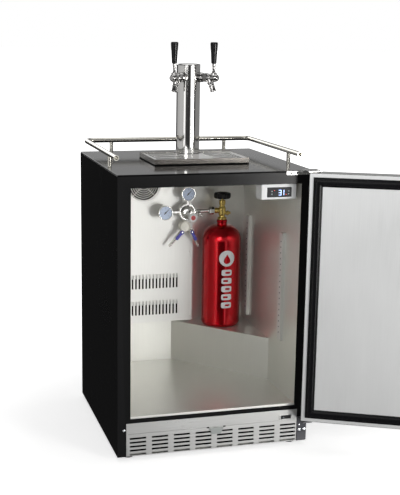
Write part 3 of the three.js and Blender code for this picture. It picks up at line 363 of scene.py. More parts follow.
def cad_copy(node, width, segments):
    """The CAD node's own shape with its edges rounded."""
    flat = math.radians(0.5)

    def build(work):
        work.from_mesh(NODES[node].data)
        bmesh.ops.remove_doubles(work, verts=work.verts, dist=WELD)
        bmesh.ops.dissolve_limit(
            work, angle_limit=flat, verts=work.verts, edges=work.edges, delimit={"NORMAL"}
        )

    return bevelled(mesh_from(build, turn_outwards=False), width, segments)


def softened(node, paint, width=0.0006, segments=2):
    """Puts the CAD node's own shape, with its edges rounded, in its place."""
    instead(node, cad_copy(node, width, segments), paint)


def block(low, high, edge=0.0008, segments=2):
    """A box with rounded edges."""
    low, high = Vector(low), Vector(high)
    size = high - low

    def build(work):
        matrix = Matrix.Translation((low + high) / 2) @ Matrix.Diagonal((*size, 1))
        bmesh.ops.create_cube(work, size=1, matrix=matrix)
        if edge > 0:
            width = min(edge, min(size) * 0.45)
            bmesh.ops.bevel(
                work, geom=work.edges[:], offset=width, segments=segments, profile=0.5, affect="EDGES"
            )

    return mesh_from(build)


def mm(*pairs):
    """Pairs of millimetres as metres."""
    return [(first * MM, second * MM) for first, second in pairs]


def rounded(profile, radius, steps=3):
    """A profile with each inner corner replaced by a small arc."""
    result = [Vector(profile[0])]
    for before, corner, after in zip(profile, profile[1:], profile[2:]):
        before, corner, after = Vector(before), Vector(corner), Vector(after)
        back, ahead = before - corner, after - corner
        reach = min(radius, back.length * 0.45, ahead.length * 0.45)
        if reach < 1e-6:
            result.append(corner)
            continue
        start = corner + back.normalized() * reach
        end = corner + ahead.normalized() * reach
        for step in range(steps + 1):
            share = step / steps
            one, two = start.lerp(corner, share), corner.lerp(end, share)
            result.append(one.lerp(two, share))
    result.append(Vector(profile[-1]))
    return result


def revolved(profile, origin, axis=UP, sides=64, edge=0.0005, flutes=0, flute_depth=0.0):
    """A profile of (radius, height) pairs turned about an axis, closed where it meets the axis."""
    points = rounded([Vector((r, h)) for r, h in profile], edge) if edge else profile
    turn = UP.rotation_difference(Vector(axis).normalized())
    origin = Vector(origin)
    widest = max(radius for radius, _ in points)

    def build(work):
        rings = []
        for radius, height in points:
            if radius < 1e-7:
                rings.append([work.verts.new(origin + turn @ Vector((0, 0, height)))])
                continue
            ring = []
            for index in range(sides):
                angle = 2 * math.pi * index / sides
                hollow = flute_depth * (1 - math.cos(flutes * angle)) / 2 * (radius / widest) ** 4
                reach = radius - hollow
                spot = Vector((reach * math.cos(angle), reach * math.sin(angle), height))
                ring.append(work.verts.new(origin + turn @ spot))
            rings.append(ring)
        for first, second in zip(rings, rings[1:]):
            bridge(work, first, second)

    return mesh_from(build)


def ring_profile(inner, outer, low, high):
    """A closed rectangle section that starts and ends on the same point."""
    middle = (inner + outer) / 2
    return [(middle, low), (outer, low), (outer, high), (inner, high), (inner, low), (middle, low)]


def swept(points, radius, sides=16, closed=False, bore=0.0):
    """A round bar along points, with one radius or one for each point; bore makes its ends hollow."""
    points = [Vector(point) for point in points]
    count = len(points)
    radii = radius if isinstance(radius, (list, tuple)) else [radius] * count

    def direction(index):
        before = points[(index - 1) % count] if closed or index > 0 else points[index]
        after = points[(index + 1) % count] if closed or index < count - 1 else points[index]
        return (after - before).normalized()

    def build(work):
        tangent = direction(0)
        side = tangent.orthogonal().normalized()
        rings = []
        for index, point in enumerate(points):
            ahead = direction(index)
            side = tangent.rotation_difference(ahead) @ side
            side = (side - ahead * side.dot(ahead)).normalized()
            tangent = ahead
            other = ahead.cross(side)
            ring = []
            for step in range(sides):
                angle = 2 * math.pi * step / sides
                offset = side * math.cos(angle) + other * math.sin(angle)
                ring.append(work.verts.new(point + offset * radii[index]))
            rings.append(ring)
        pairs = list(zip(rings, rings[1:]))
        if closed:
            pairs.append((rings[-1], rings[0]))
        for first, second in pairs:
            bridge(work, first, second)
        if closed:
            return
        for ring, inward in ((rings[0], 1), (rings[-1], -1)):
            end = ring
            if bore:
                centre = sum((vert.co for vert in ring), Vector()) / sides
                heading = direction(0) if inward == 1 else -direction(count - 1)
                for depth in (0.0, END_BORE_DEPTH):
                    inner = []
                    for vert in ring:
                        spot = centre + (vert.co - centre).normalized() * bore + heading * depth
                        inner.append(work.verts.new(spot))
                    bridge(work, end, inner)
                    end = inner
            work.faces.new(end)

    return mesh_from(build)


def circle_points(centre, radius, axis=UP, count=48):
    """Points round a circle that faces along an axis."""
    turn = UP.rotation_difference(Vector(axis).normalized())
    centre = Vector(centre)
    angles = [2 * math.pi * index / count for index in range(count)]
    return [centre + turn @ Vector((radius * math.cos(a), radius * math.sin(a), 0)) for a in angles]


def plate(outline, holes, depth, place, edge=0.0003):
    """A flat sheet with holes, drawn in X and Y and then placed by a matrix; its edges are rounded."""
    curve = bpy.data.curves.new("outline", "CURVE")
    curve.dimensions = "2D"
    curve.fill_mode = "BOTH"
    curve.extrude = depth / 2 - edge
    curve.bevel_depth = edge
    curve.bevel_resolution = 1
    curve.offset = -edge
    for loop in [outline, *holes]:
        spline = curve.splines.new("POLY")
        spline.points.add(len(loop) - 1)
        for point, (x, y) in zip(spline.points, loop):
            point.co = (x, y, 0, 1)
        spline.use_cyclic_u = True
    mesh = evaluated_mesh(curve)
    mesh.transform(place)

    def build(work):
        work.from_mesh(mesh)
        bmesh.ops.remove_doubles(work, verts=work.verts, dist=WELD)

    return mesh_from(build)


def slot_outline(x0, y0, x1, y1, radius, steps=4):
    """A rectangle with round corners."""
    points = []
    for cx, cy, start in ((x1, y0, -90), (x1, y1, 0), (x0, y1, 90), (x0, y0, 180)):
        inward_x = -radius if cx == x1 else radius
        inward_y = -radius if cy == y1 else radius
        for step in range(steps + 1):
            angle = math.radians(start + 90 * step / steps)
            x = cx + inward_x + radius * math.cos(angle)
            points.append((x, cy + inward_y + radius * math.sin(angle)))
    return points


def side_on(x):
    """Stands a sheet drawn in X and Y up as Y and Z, centred on the plane at x."""
    turned = Matrix(((0, 0, 1, 0), (1, 0, 0, 0), (0, 1, 0, 0), (0, 0, 0, 1)))
    return Matrix.Translation((x, 0, 0)) @ turned


def middle(node):
    """The centre of a CAD node's box."""
    low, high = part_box(node)
    return (low + high) / 2


def rounded_frame(section, low, high, place):
    """A closed section swept round a rectangle with mitred corners; pairs are (inset, height)."""

    def build(work):
        corners = []
        for sign_x, sign_z in ((0, 0), (1, 0), (1, 1), (0, 1)):
            ring = []
            for inset, height in section:
                x = high.x - inset if sign_x else low.x + inset
                z = high.z - inset if sign_z else low.z + inset
                ring.append(work.verts.new(place @ Vector((x, height, z))))
            corners.append(ring)
        for index in range(4):
            bridge(work, corners[index], corners[(index + 1) % 4])

    return mesh_from(build)


def decal(outline, centre, radius, thickness, layers=8):
    """A thin star-shaped patch wrapped on an upright cylinder's front; points are (along, height)."""
    middle_u = sum(u for u, _ in outline) / len(outline)
    middle_v = sum(v for _, v in outline) / len(outline)

    def spot(u, v, reach):
        angle = u / radius
        return Vector((centre.x + reach * math.sin(angle), centre.y - reach * math.cos(angle), v))

    def build(work):
        rims = []
        for reach in (radius + thickness, radius - thickness):
            rings = [[work.verts.new(spot(middle_u, middle_v, reach))]]
            for layer in range(1, layers + 1):
                share = layer / layers
                ring = []
                for u, v in outline:
                    u, v = middle_u + (u - middle_u) * share, middle_v + (v - middle_v) * share
                    ring.append(work.verts.new(spot(u, v, reach)))
                rings.append(ring)
            rims.append(rings[-1])
            for first, second in zip(rings, rings[1:]):
                bridge(work, first, second)
        bridge(work, *rims)

    return mesh_from(build)


def lathe_along(start, end, profile, sides=48, edge=0.0005):
    """A profile turned about the line from one point to another, with heights from the first."""
    start, end = Vector(start), Vector(end)
    return revolved(profile, start, end - start, sides, edge)


def domed_screw(position, axis, radius=0.004):
    """A domed screw head with a small sunk socket."""
    height = radius * 0.55
    profile = [
        (0, 0), (radius, 0), (radius, height * 0.35), (radius * 0.8, height * 0.8),
        (radius * 0.42, height), (radius * 0.36, height * 0.45), (0, height * 0.45),
    ]
    return revolved(profile, position, axis, 24, radius * 0.1)


# ---------- camera and light ----------
CAMERA_SPOT = (-0.9262, -3.2243, 1.2737)
# Degrees to the right of straight ahead, down, and rolled.
CAMERA_TURN = (15.615, 11.848, 0.722)
CAMERA_LENS = 76.6
CAMERA_SHIFT = (0.0364, 0.003)


def make_camera():
    """The camera stands left of the front and looks slightly down."""
    yaw, pitch, roll = (math.radians(angle) for angle in CAMERA_TURN)
    forward = Vector((math.sin(yaw) * math.cos(pitch), math.cos(yaw) * math.cos(pitch), -math.sin(pitch)))
    level = Vector((math.cos(yaw), -math.sin(yaw), 0))
    rise = level.cross(forward)
    right = level * math.cos(roll) + rise * math.sin(roll)
    above = rise * math.cos(roll) - level * math.sin(roll)
    data = bpy.data.cameras.new("camera")
    data.lens = CAMERA_LENS
    data.sensor_width = 36
    data.shift_x, data.shift_y = CAMERA_SHIFT
    data.clip_end = 200
    camera = bpy.data.objects.new("camera", data)
    basis = Matrix((right, above, -forward)).transposed().to_4x4()
    camera.matrix_world = Matrix.Translation(CAMERA_SPOT) @ basis
    bpy.context.scene.collection.objects.link(camera)
    bpy.context.scene.camera = camera


def area_light(name, position, target, size, power, colour=(1, 1, 1)):
    """A soft rectangular lamp that points at a target."""
    data = bpy.data.lights.new(name, "AREA")
    data.shape = "RECTANGLE"
    data.size, data.size_y = size
    data.energy = power
    data.color = colour
    lamp = bpy.data.objects.new(name, data)
    position, target = Vector(position), Vector(target)
    aim = (target - position).to_track_quat("-Z", "Y").to_matrix().to_4x4()
    lamp.matrix_world = Matrix.Translation(position) @ aim
    bpy.context.scene.collection.objects.link(lamp)


# Brightness of the room by bearing, in degrees anticlockwise from +X, just below eye level. The
# dark and bright screens stand where a polished column would mirror them.
LOW_BANDS = [
    (-180, 0.55),
    (-153, 0.55),
    (-150, 0.06),
    (-148, 1.3),
    (-132, 1.3),
    (-128, 0.04),
    (-85, 0.03),
    (-81, 1.2),
    (-48, 1.2),
    (-45, 0.03),
    (-33, 0.03),
    (-29, 0.26),
    (80, 0.26),
    (90, 0.02),
    (122, 0.02),
    (132, 0.45),
    (180, 0.55),
]
# Brightness of the room by the sine of the height angle, from the horizon up.
HIGH_BANDS = [(0.0, 0.56), (0.12, 0.54), (0.35, 0.36), (0.5, 0.08), (0.8, 0.05), (1.0, 0.3)]
# Brightness of the room well below eye level, where polished bars mirror their dark undersides.
DEEP_LEVEL = 0.04


def ramp(graph, value, stops):
    """A colour ramp of greys."""
    made = graph.node("ShaderNodeValToRGB", {"Fac": value})
    elements = made.color_ramp.elements
    elements.remove(elements[-1])
    elements[0].position, elements[0].color = stops[0][0], rgba((stops[0][1],) * 3)
    for position, level in stops[1:]:
        elements.new(position).color = rgba((level,) * 3)
    return made.outputs["Color"]


def make_studio():
    """A white background, round a dim room with upright bright screens for the metal to mirror."""
    world = bpy.data.worlds.new("studio")
    bpy.context.scene.world = world
    world.use_nodes = True
    graph = Graph(world.node_tree)
    background = world.node_tree.nodes["Background"]
    direction = graph.node("ShaderNodeTexCoord").outputs["Generated"]
    parts = graph.node("ShaderNodeSeparateXYZ", {"Vector": direction}).outputs
    bearing = graph.node("ShaderNodeMath", {0: parts["Y"], 1: parts["X"]}, operation="ARCTAN2").outputs[0]
    share = graph.spread(bearing, 0, 1, -math.pi, math.pi)
    low = ramp(graph, share, [((angle + 180) / 360, level) for angle, level in LOW_BANDS])
    high = ramp(graph, parts["Z"], HIGH_BANDS)
    deep = graph.mix(graph.spread(parts["Z"], 0, 1, -0.5, -0.36), rgba((DEEP_LEVEL,) * 3), low)
    around = graph.mix(graph.spread(parts["Z"], 0, 1, -0.03, 0.06), deep, high)
    seen = graph.node("ShaderNodeLightPath").outputs["Is Camera Ray"]
    shown = graph.mix(seen, around, rgba((1.0, 1.0, 1.0)))
    world.node_tree.links.new(shown, background.inputs["Color"])
    background.inputs["Strength"].default_value = 1.0

    area_light("key", (1.4, -2.55, 0.55), (-0.1, 0.1, 0.55), (0.8, 1.0), 46, (1.0, 0.99, 0.97))
    area_light("fill", (-1.7, -3.0, 1.7), (0.1, 0, 0.45), (1.4, 1.4), 24)
    area_light("overhead", (0.2, 0.3, 3.2), (0, 0, 0.8), (2.6, 2.6), 20)
    area_light("rear", (-0.8, 3.2, 2.0), (0, 0, 0.6), (2.0, 1.6), 14)


FLOOR_RADIUS = 60.0
# The floor's own light grows from dim to bright between two distances from the object's middle.
GLOW_LEVELS = (0.62, 1.3)
GLOW_DISTANCES = (0.5, 2.0)


def make_floor():
    """A pale floor that brightens away from the object until it meets the white background."""
    low = cad_bounds[0][2]
    ring = circle_points((0, 0, low), FLOOR_RADIUS, UP, 96)
    mesh = bpy.data.meshes.new("floor")
    mesh.from_pydata([tuple(point) for point in ring], [], [tuple(range(len(ring)))])
    ground = bpy.data.objects.new("floor", mesh)
    bpy.context.scene.collection.objects.link(ground)
    paint = surface("floor_paint", (0.86, 0.86, 0.86), 0.7, grain=20, vary=0.006, bump=0.0)
    graph = Graph(paint.node_tree)
    shader = paint.node_tree.nodes["Principled BSDF"]
    place = graph.node("ShaderNodeTexCoord").outputs["Object"]
    distance = graph.node("ShaderNodeVectorMath", {0: place}, operation="LENGTH").outputs["Value"]
    glow = graph.spread(distance, *GLOW_LEVELS, *GLOW_DISTANCES)
    paint.node_tree.links.new(glow, shader.inputs["Emission Strength"])
    shader.inputs["Emission Color"].default_value = rgba((1.0, 1.0, 1.0))
    shader.inputs["Specular IOR Level"].default_value = 0.0
    mesh.materials.append(paint)
    ground.visible_glossy = False
    ground.visible_diffuse = False
    bpy.context.scene.view_settings.view_transform = "Standard"
    bpy.context.scene.view_settings.look = "None"


# ---------- cabinet ----------
def repaint(node, paint):
    """Gives a CAD node that stays visible its finish."""
    materials = NODES[node].data.materials
    materials.clear()
    materials.append(PAINT[paint])


def screw(name, spot, radius, paint, node, axis=FRONTWARD, slot="zinc"):
    """A domed screw head on the body of a node."""
    detail(name, domed_screw(spot, axis, radius), paint, node, slot)


def dress_cabinet():
    """The shell, worktop, liner, base pan, service cover and feet."""
    softened("cabinet_wrapper", "cabinet", 0.0009)
    softened("top_panel", "top", 0.0017, 4)
    softened("liner", "liner", 0.0007)
    softened("base_pan", "zinc", 0.0005)
    softened("rear_service_cover", "cabinet", 0.0003)
    repaint("foam_insulation", "foam")
    profile = mm(
        (0, 0), (16.5, 0), (18, 1.5), (18, 5), (10.5, 8.2), (9, 9.4), (4.5, 9.4), (4.5, 46), (0, 46)
    )
    for foot in [name for name in NODES if name.startswith("leveling_foot")]:
        centre = middle(foot)
        base = Vector((centre.x, centre.y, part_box(foot)[0].z))
        pad = revolved(profile, base, UP, 48, flutes=24, flute_depth=0.0012)
        instead(foot, pad, "black_plastic")
    low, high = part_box("rear_service_cover")
    inset = 0.008
    for x in (low.x + inset, 0.0, high.x - inset):
        for z in (low.z + inset, high.z - inset):
            name = f"rear_screw_{round(x / MM)}_{round(z / MM)}"
            screw(name, (x, BACK_FACE, z), 0.0035, "zinc", "rear_service_cover", -FRONTWARD)


RIB_PLACES = {"front": -0.166, "rear": 0.164}
RIB_HOLES = 17
RIB_HOLE_PITCH = 0.0186
STRIP_HALF_WIDTH = 0.012
STRIP_HALF_HEIGHT = 0.172


def dress_ribs():
    """Holed strips on the shelf ribs of both side walls, with a black sheet of painted shade behind their
    holes.
    """
    wall = ROOM_HALF - RIB_DEPTH
    for side, hand in ((-1, "left"), (1, "right")):
        for place, y in RIB_PLACES.items():
            holes = []
            for index in range(RIB_HOLES):
                z = RIB_MIDDLE + (index - (RIB_HOLES - 1) / 2) * RIB_HOLE_PITCH
                holes.append(slot_outline(y - 0.0034, z - 0.0021, y + 0.0034, z + 0.0021, 0.0018, 3))
            bottom, top = RIB_MIDDLE - STRIP_HALF_HEIGHT, RIB_MIDDLE + STRIP_HALF_HEIGHT
            outline = slot_outline(y - STRIP_HALF_WIDTH, bottom, y + STRIP_HALF_WIDTH, top, 0.003)
            strip = plate(outline, holes, 0.0006, side_on(side * (wall - 0.0005)), 0.0001)
            detail(f"shelf_strip_{place}_{hand}", strip, "cover", "liner")
            # Painted shade: a black sheet behind the holes makes them look dark.
            inner, outer = sorted((side * wall, side * (wall - 0.0002)))
            low = (inner, y - STRIP_HALF_WIDTH / 2, bottom + 0.012)
            high = (outer, y + STRIP_HALF_WIDTH / 2, top - 0.012)
            detail(f"shelf_hole_shade_{place}_{hand}", block(low, high, 0), "shadow", "liner")


def dress_kick():
    """The kick plate with its catch, rocker switch and side screw."""
    softened("kick_header", "kick", 0.0006)
    softened("kick_grille", "kick", 0.0004)
    softened("catch_plate", "catch", 0.0005)
    softened("power_rocker", "black_plastic", 0.0006, 3)
    # Painted shade: black blocks beside the catch plate stand for its shaded notches.
    low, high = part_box("catch_plate")
    for index, x in enumerate((low.x - 0.0035, high.x + 0.0035)):
        notch = block((x - 0.004, -0.3012, 0.069), (x + 0.004, -0.299, 0.0728), 0.0006)
        detail(f"catch_notch_shade_{index}", notch, "shadow", "kick_grille")
    low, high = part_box("power_rocker")
    centre = Vector(((low.x + high.x) / 2 - 0.0085, low.y + 0.0012, (low.z + high.z) / 2))
    ring = swept(circle_points(centre, 0.0017, FRONTWARD, 20), 0.0003, 8, True)
    detail("rocker_mark_off", ring, "button", "power_rocker")
    # Painted shade: a black sheet behind the grille makes its slots look dark.
    low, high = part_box("kick_grille")
    rim = 0.004
    shade_sheet_low = (low.x + rim, high.y + 0.002, low.z + rim)
    shade_sheet_high = (high.x - rim, high.y + 0.0026, high.z - rim)
    detail("grille_shade_sheet", block(shade_sheet_low, shade_sheet_high, 0.0001, 1), "shadow", "kick_grille")
    screw("side_screw", (-0.283, FRONT_FACE, 0.085), 0.0045, "bright_screw", "cabinet_wrapper")


# Screws of the hinge plates: their x, z and radius.
LOWER_SCREWS = ((0.281, 0.038, 0.0062), (0.2975, 0.038, 0.0062), (0.281, 0.054, 0.0032))
UPPER_SCREWS = ((0.226, 0.8535, 0.0036), (0.246, 0.8535, 0.0036), (0.29, 0.8535, 0.0036))


def dress_hinges():
    """Both hinge plates with their screws and pin heads."""
    softened("lower_hinge_bracket", "dark_steel", 0.0008)
    softened("upper_hinge_bracket", "zinc_bright", 0.0006)
    for end, spots, paint, sink in (
        ("lower", LOWER_SCREWS, "bright_screw", 0.003),
        ("upper", UPPER_SCREWS, "dark_steel", 0.002),
    ):
        node = f"{end}_hinge_bracket"
        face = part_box(node)[1].y - sink
        for index, (x, z, radius) in enumerate(spots):
            screw(f"{end}_hinge_screw_{index}", (x, face, z), radius, paint, node)
    pin = JOINTS["door_hinge"]["pos_m"]
    for name, z, paint in (("lower", 0.0812, "dark_steel"), ("upper", 0.8657, "zinc_bright")):
        profile = mm((0, -0.6), (6.2, -0.6), (6.2, 0.4), (5.2, 1), (0, 1.2))
        if name == "lower":
            profile = [(r, -h - 0.004) for r, h in profile]
        cap = revolved(profile, (pin[0], pin[1], z), UP, 32, 0.0002)
        detail(f"{name}_pin_head", cap, paint, f"{name}_hinge_bracket")


# ---------- cooler ----------
VENT_LAST = 0.011
VENT_PITCH = 0.01205
VENT_COUNT = 19
VENT_ROWS = (0.3024, 0.3955)
VENT_HEIGHT = 0.0505
VENT_WIDTH = 0.0056


VENT_LEAN = 16
COVER_SCREWS = ((0.056, 0.29), (0.056, 0.52), (0.056, 0.8), (-0.215, 0.29))
GUARD_WIRE = 0.0011


def dress_cooler():
    """The cooler cover with its louvres, fan, motor and coil."""
    softened("evaporator_cover", "cover", 0.0005)
    cover_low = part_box("evaporator_cover")[0]
    front = cover_low.y
    lean = Matrix.Rotation(math.radians(VENT_LEAN), 4, "X")
    for row, low in enumerate(VENT_ROWS):
        tongues = []
        for column in range(VENT_COUNT):
            x = VENT_LAST - column * VENT_PITCH
            if x < cover_low.x + 0.006:
                continue
            tongue = block((-VENT_WIDTH / 2, -0.0004, -0.017), (VENT_WIDTH / 2, 0.0004, 0.0), 0.0002)
            tongue.transform(Matrix.Translation((x, front + 0.0009, low + VENT_HEIGHT)) @ lean)
            tongues.append(tongue)
        detail(f"louvre_tongues_{row}", joined(*tongues), "cover", "evaporator_cover")
    # Painted shade: a black sheet behind the louvre slots makes them look dark.
    first = VENT_LAST - (VENT_COUNT - 1) * VENT_PITCH
    screen = block((first - 0.01, 0.199, 0.296), (VENT_LAST + 0.01, 0.1998, 0.452), 0.0002)
    detail("vent_shade_sheet", screen, "shadow", "evaporator_cover")
    for index, (x, z) in enumerate(COVER_SCREWS):
        screw(f"cover_screw_{index}", (x, front, z), 0.0032, "cover", "evaporator_cover", slot=None)
    dress_fan_guard(front)
    instead("evaporator_fan", fan_rotor("evaporator_fan", 0.015, 0.05), "black_plastic")
    softened("evaporator_fan_motor", "dark_steel", 0.001)
    softened("evaporator_coil", "fins", 0.0002, 1)


def dress_fan_guard(front):
    """Wire rings on two crossed spokes, in front of a black duct of painted shade."""
    centre = middle("evaporator_fan_guard")
    low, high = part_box("evaporator_fan_guard")
    wires = []
    for index in range(GUARD_RINGS):
        radius = GUARD_RADIUS * (index + 1.4) / (GUARD_RINGS + 0.4)
        ring = circle_points((centre.x, low.y + GUARD_WIRE, centre.z), radius, FRONTWARD, 72)
        wires.append(swept(ring, GUARD_WIRE, 8, True))
    spoke = GUARD_WIRE * 0.95
    hub = Vector((centre.x, high.y - spoke, centre.z))
    for angle in (45, 135):
        along = Vector((math.cos(math.radians(angle)), 0, math.sin(math.radians(angle)))) * GUARD_RADIUS
        wires.append(swept([hub - along, hub, hub + along], spoke, 8))
    instead("evaporator_fan_guard", joined(*wires), "wire")
    # Painted shade: a black tube and back ring make the hole behind the guard look dark.
    hole = GUARD_RADIUS - 0.0048
    for name, inner, depth, back in (
        ("duct_shade", hole - 0.0008, 0.0195, 0.0218),
        ("duct_shade_back", 0.0205, 0.0006, 0.0224),
    ):
        profile = ring_profile(inner, hole, 0.0, depth)
        tube = revolved(profile, (centre.x, front + back, centre.z), FRONTWARD, 64, 0.0001)
        detail(name, tube, "shadow", "evaporator_cover")


def fan_rotor(node, hub, tip):
    """A round-nosed hub with five twisted blades, about an axis along Y."""
    low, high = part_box(node)
    centre = middle(node)
    depth = high.y - low.y
    nose = [(0, 0), (hub, 0), (hub, depth * 0.75), (hub * 0.8, depth * 0.95), (0, depth)]
    meshes = [revolved(nose, (centre.x, high.y, centre.z), FRONTWARD, 40, 0.002)]
    for index in range(5):
        meshes.append(fan_blade(centre, hub, tip, depth, math.radians(72 * index)))
    return joined(*meshes)


def fan_blade(centre, hub, tip, depth, heading):
    """One blade as a thin closed shell that twists from root to tip."""
    steps, across = 6, 6

    def build(work):
        sheets = []
        for offset in (-0.0005, 0.0005):
            grid = []
            for step in range(steps + 1):
                share = step / steps
                radius = hub * 0.9 + (tip - hub * 0.9) * share
                chord = math.radians(48 - 8 * share)
                line = []
                for index in range(across + 1):
                    place = index / across - 0.5
                    angle = heading + chord * place
                    rise = depth * (0.62 - 0.15 * share) * place + offset
                    spot = Vector((radius * math.cos(angle), rise, radius * math.sin(angle)))
                    line.append(work.verts.new(centre + spot))
                grid.append(line)
            sheets.append(grid)
        for grid in sheets:
            for first, second in zip(grid, grid[1:]):
                for index in range(across):
                    work.faces.new([first[index], first[index + 1], second[index + 1], second[index]])
        top, bottom = sheets
        rim = [(0, i) for i in range(across)] + [(i, across) for i in range(steps)]
        rim += [(steps, i) for i in range(across, 0, -1)] + [(i, 0) for i in range(steps, 0, -1)]
        bridge(work, [top[row][place] for row, place in rim], [bottom[row][place] for row, place in rim])

    return mesh_from(build)


# ---------- controller ----------
SEGMENTS = {"3": "abgcd", "1": "bc"}
DIGIT_WIDTH = 0.0088
DIGIT_HEIGHT = 0.0168
DIGIT_STROKE = 0.0021


def digit(character, x, z, y):
    """Seven-segment strokes with their lower left corner at x, z."""
    w, h, s = DIGIT_WIDTH, DIGIT_HEIGHT, DIGIT_STROKE
    strokes = {
        "a": (0, h - s, w, h),
        "b": (w - s, h / 2, w, h),
        "c": (w - s, 0, w, h / 2),
        "d": (0, 0, w, s),
        "g": (0, h / 2 - s / 2, w, h / 2 + s / 2),
    }
    gap = 0.0002
    pieces = []
    for name in SEGMENTS[character]:
        x0, z0, x1, z1 = strokes[name]
        low = (x + x0 + gap, y - 0.0003, z + z0 + gap)
        high = (x + x1 - gap, y, z + z1 - gap)
        pieces.append(block(low, high, 0.00012, 1))
    return joined(*pieces)


DISPLAY_LAMPS = {"alarm": (0.2185, 0.7875), "cooling": (0.181, 0.8)}


def dress_controller():
    """The controller box with its lit display and four buttons."""
    softened("controller_housing", "white_plastic", 0.0014, 3)
    softened("controller_display", "display", 0.0005)
    low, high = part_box("controller_display")
    base = (low.z + high.z) / 2 - DIGIT_HEIGHT / 2 - 0.0012
    detail("digit_tens", digit("3", 0.1945, base, low.y), "digits", "controller_display")
    detail("digit_ones", digit("1", 0.2035, base, low.y), "digits", "controller_display")
    for name, (x, z) in DISPLAY_LAMPS.items():
        lamp = revolved(mm((0, 0), (1.1, 0), (0.9, 0.3), (0, 0.3)), (x, low.y, z), FRONTWARD, 16, 0.0001)
        detail(f"lamp_{name}", lamp, "red_light", "controller_display")
    for index in range(1, 5):
        node = f"controller_button_{index}"
        low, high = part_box(node)
        centre = middle(node)
        depth = high.y - low.y
        radius = (high.x - low.x) / 2
        profile = [(0, 0), (radius, 0), (radius, depth * 0.8), (radius * 0.7, depth), (0, depth)]
        instead(node, revolved(profile, (centre.x, high.y, centre.z), FRONTWARD, 24, 0.0003), "button")


# ---------- guard rail, tower and tray ----------
def dress_rail():
    """The bent guard rail with open ends, on four posts."""
    low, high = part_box("guard_rail")
    radius = 0.008
    left, right, back, z = low.x + radius, high.x - radius, high.y - radius, high.z - radius
    path = rounded([(left, low.y, z), (left, back, z), (right, back, z), (right, low.y, z)], 0.028, 12)
    rail = [swept(path, radius, 28, bore=0.0064)]
    for x, y in ((left, -0.116), (right, -0.116), (-0.2, back), (0.2, back)):
        post = mm((0, 0), (6.2, 0), (6.2, 34), (7.2, 36.5), (0, 36.5))
        rail.append(revolved(post, (x, y, low.z), UP, 32, 0.0004))
    instead("guard_rail", joined(*rail), "rail")


def faucet_point(side, reach, z):
    """A point on the line in which a faucet leaves the tower, at 45 degrees to the front."""
    centre = middle("tower_column")
    step = reach * math.sqrt(0.5)
    return Vector((centre.x + side * step, centre.y - step, z))


SHANK_Z = 1.121
REACH = 0.091


def dress_tower():
    """The chrome column, its cap and both faucets."""
    low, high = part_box("tower_column")
    centre = middle("tower_column")
    radius = (high.x - low.x) / 2
    height = high.z - low.z
    wall = revolved(
        ring_profile(radius - 0.002, radius, 0, height), (centre.x, centre.y, low.z), UP, 128, 0.0003
    )
    instead("tower_column", wall, "chrome")
    cap_low, cap_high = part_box("tower_cap")
    lip = high.z + 0.0003 - cap_low.z
    top = cap_high.z - cap_low.z
    outer = (cap_high.x - cap_low.x) / 2
    profile = [
        (0, 0), (radius - 0.0026, 0), (radius - 0.0026, lip), (outer, lip), (outer, lip + 0.0022),
        (outer - 0.0024, top - 0.0018), (outer * 0.62, top - 0.0005), (0, top),
    ]
    instead("tower_cap", revolved(profile, (centre.x, centre.y, cap_low.z), UP, 128, 0.0012), "chrome")
    for name, side in (("left", -1), ("right", 1)):
        dress_faucet(name, side)


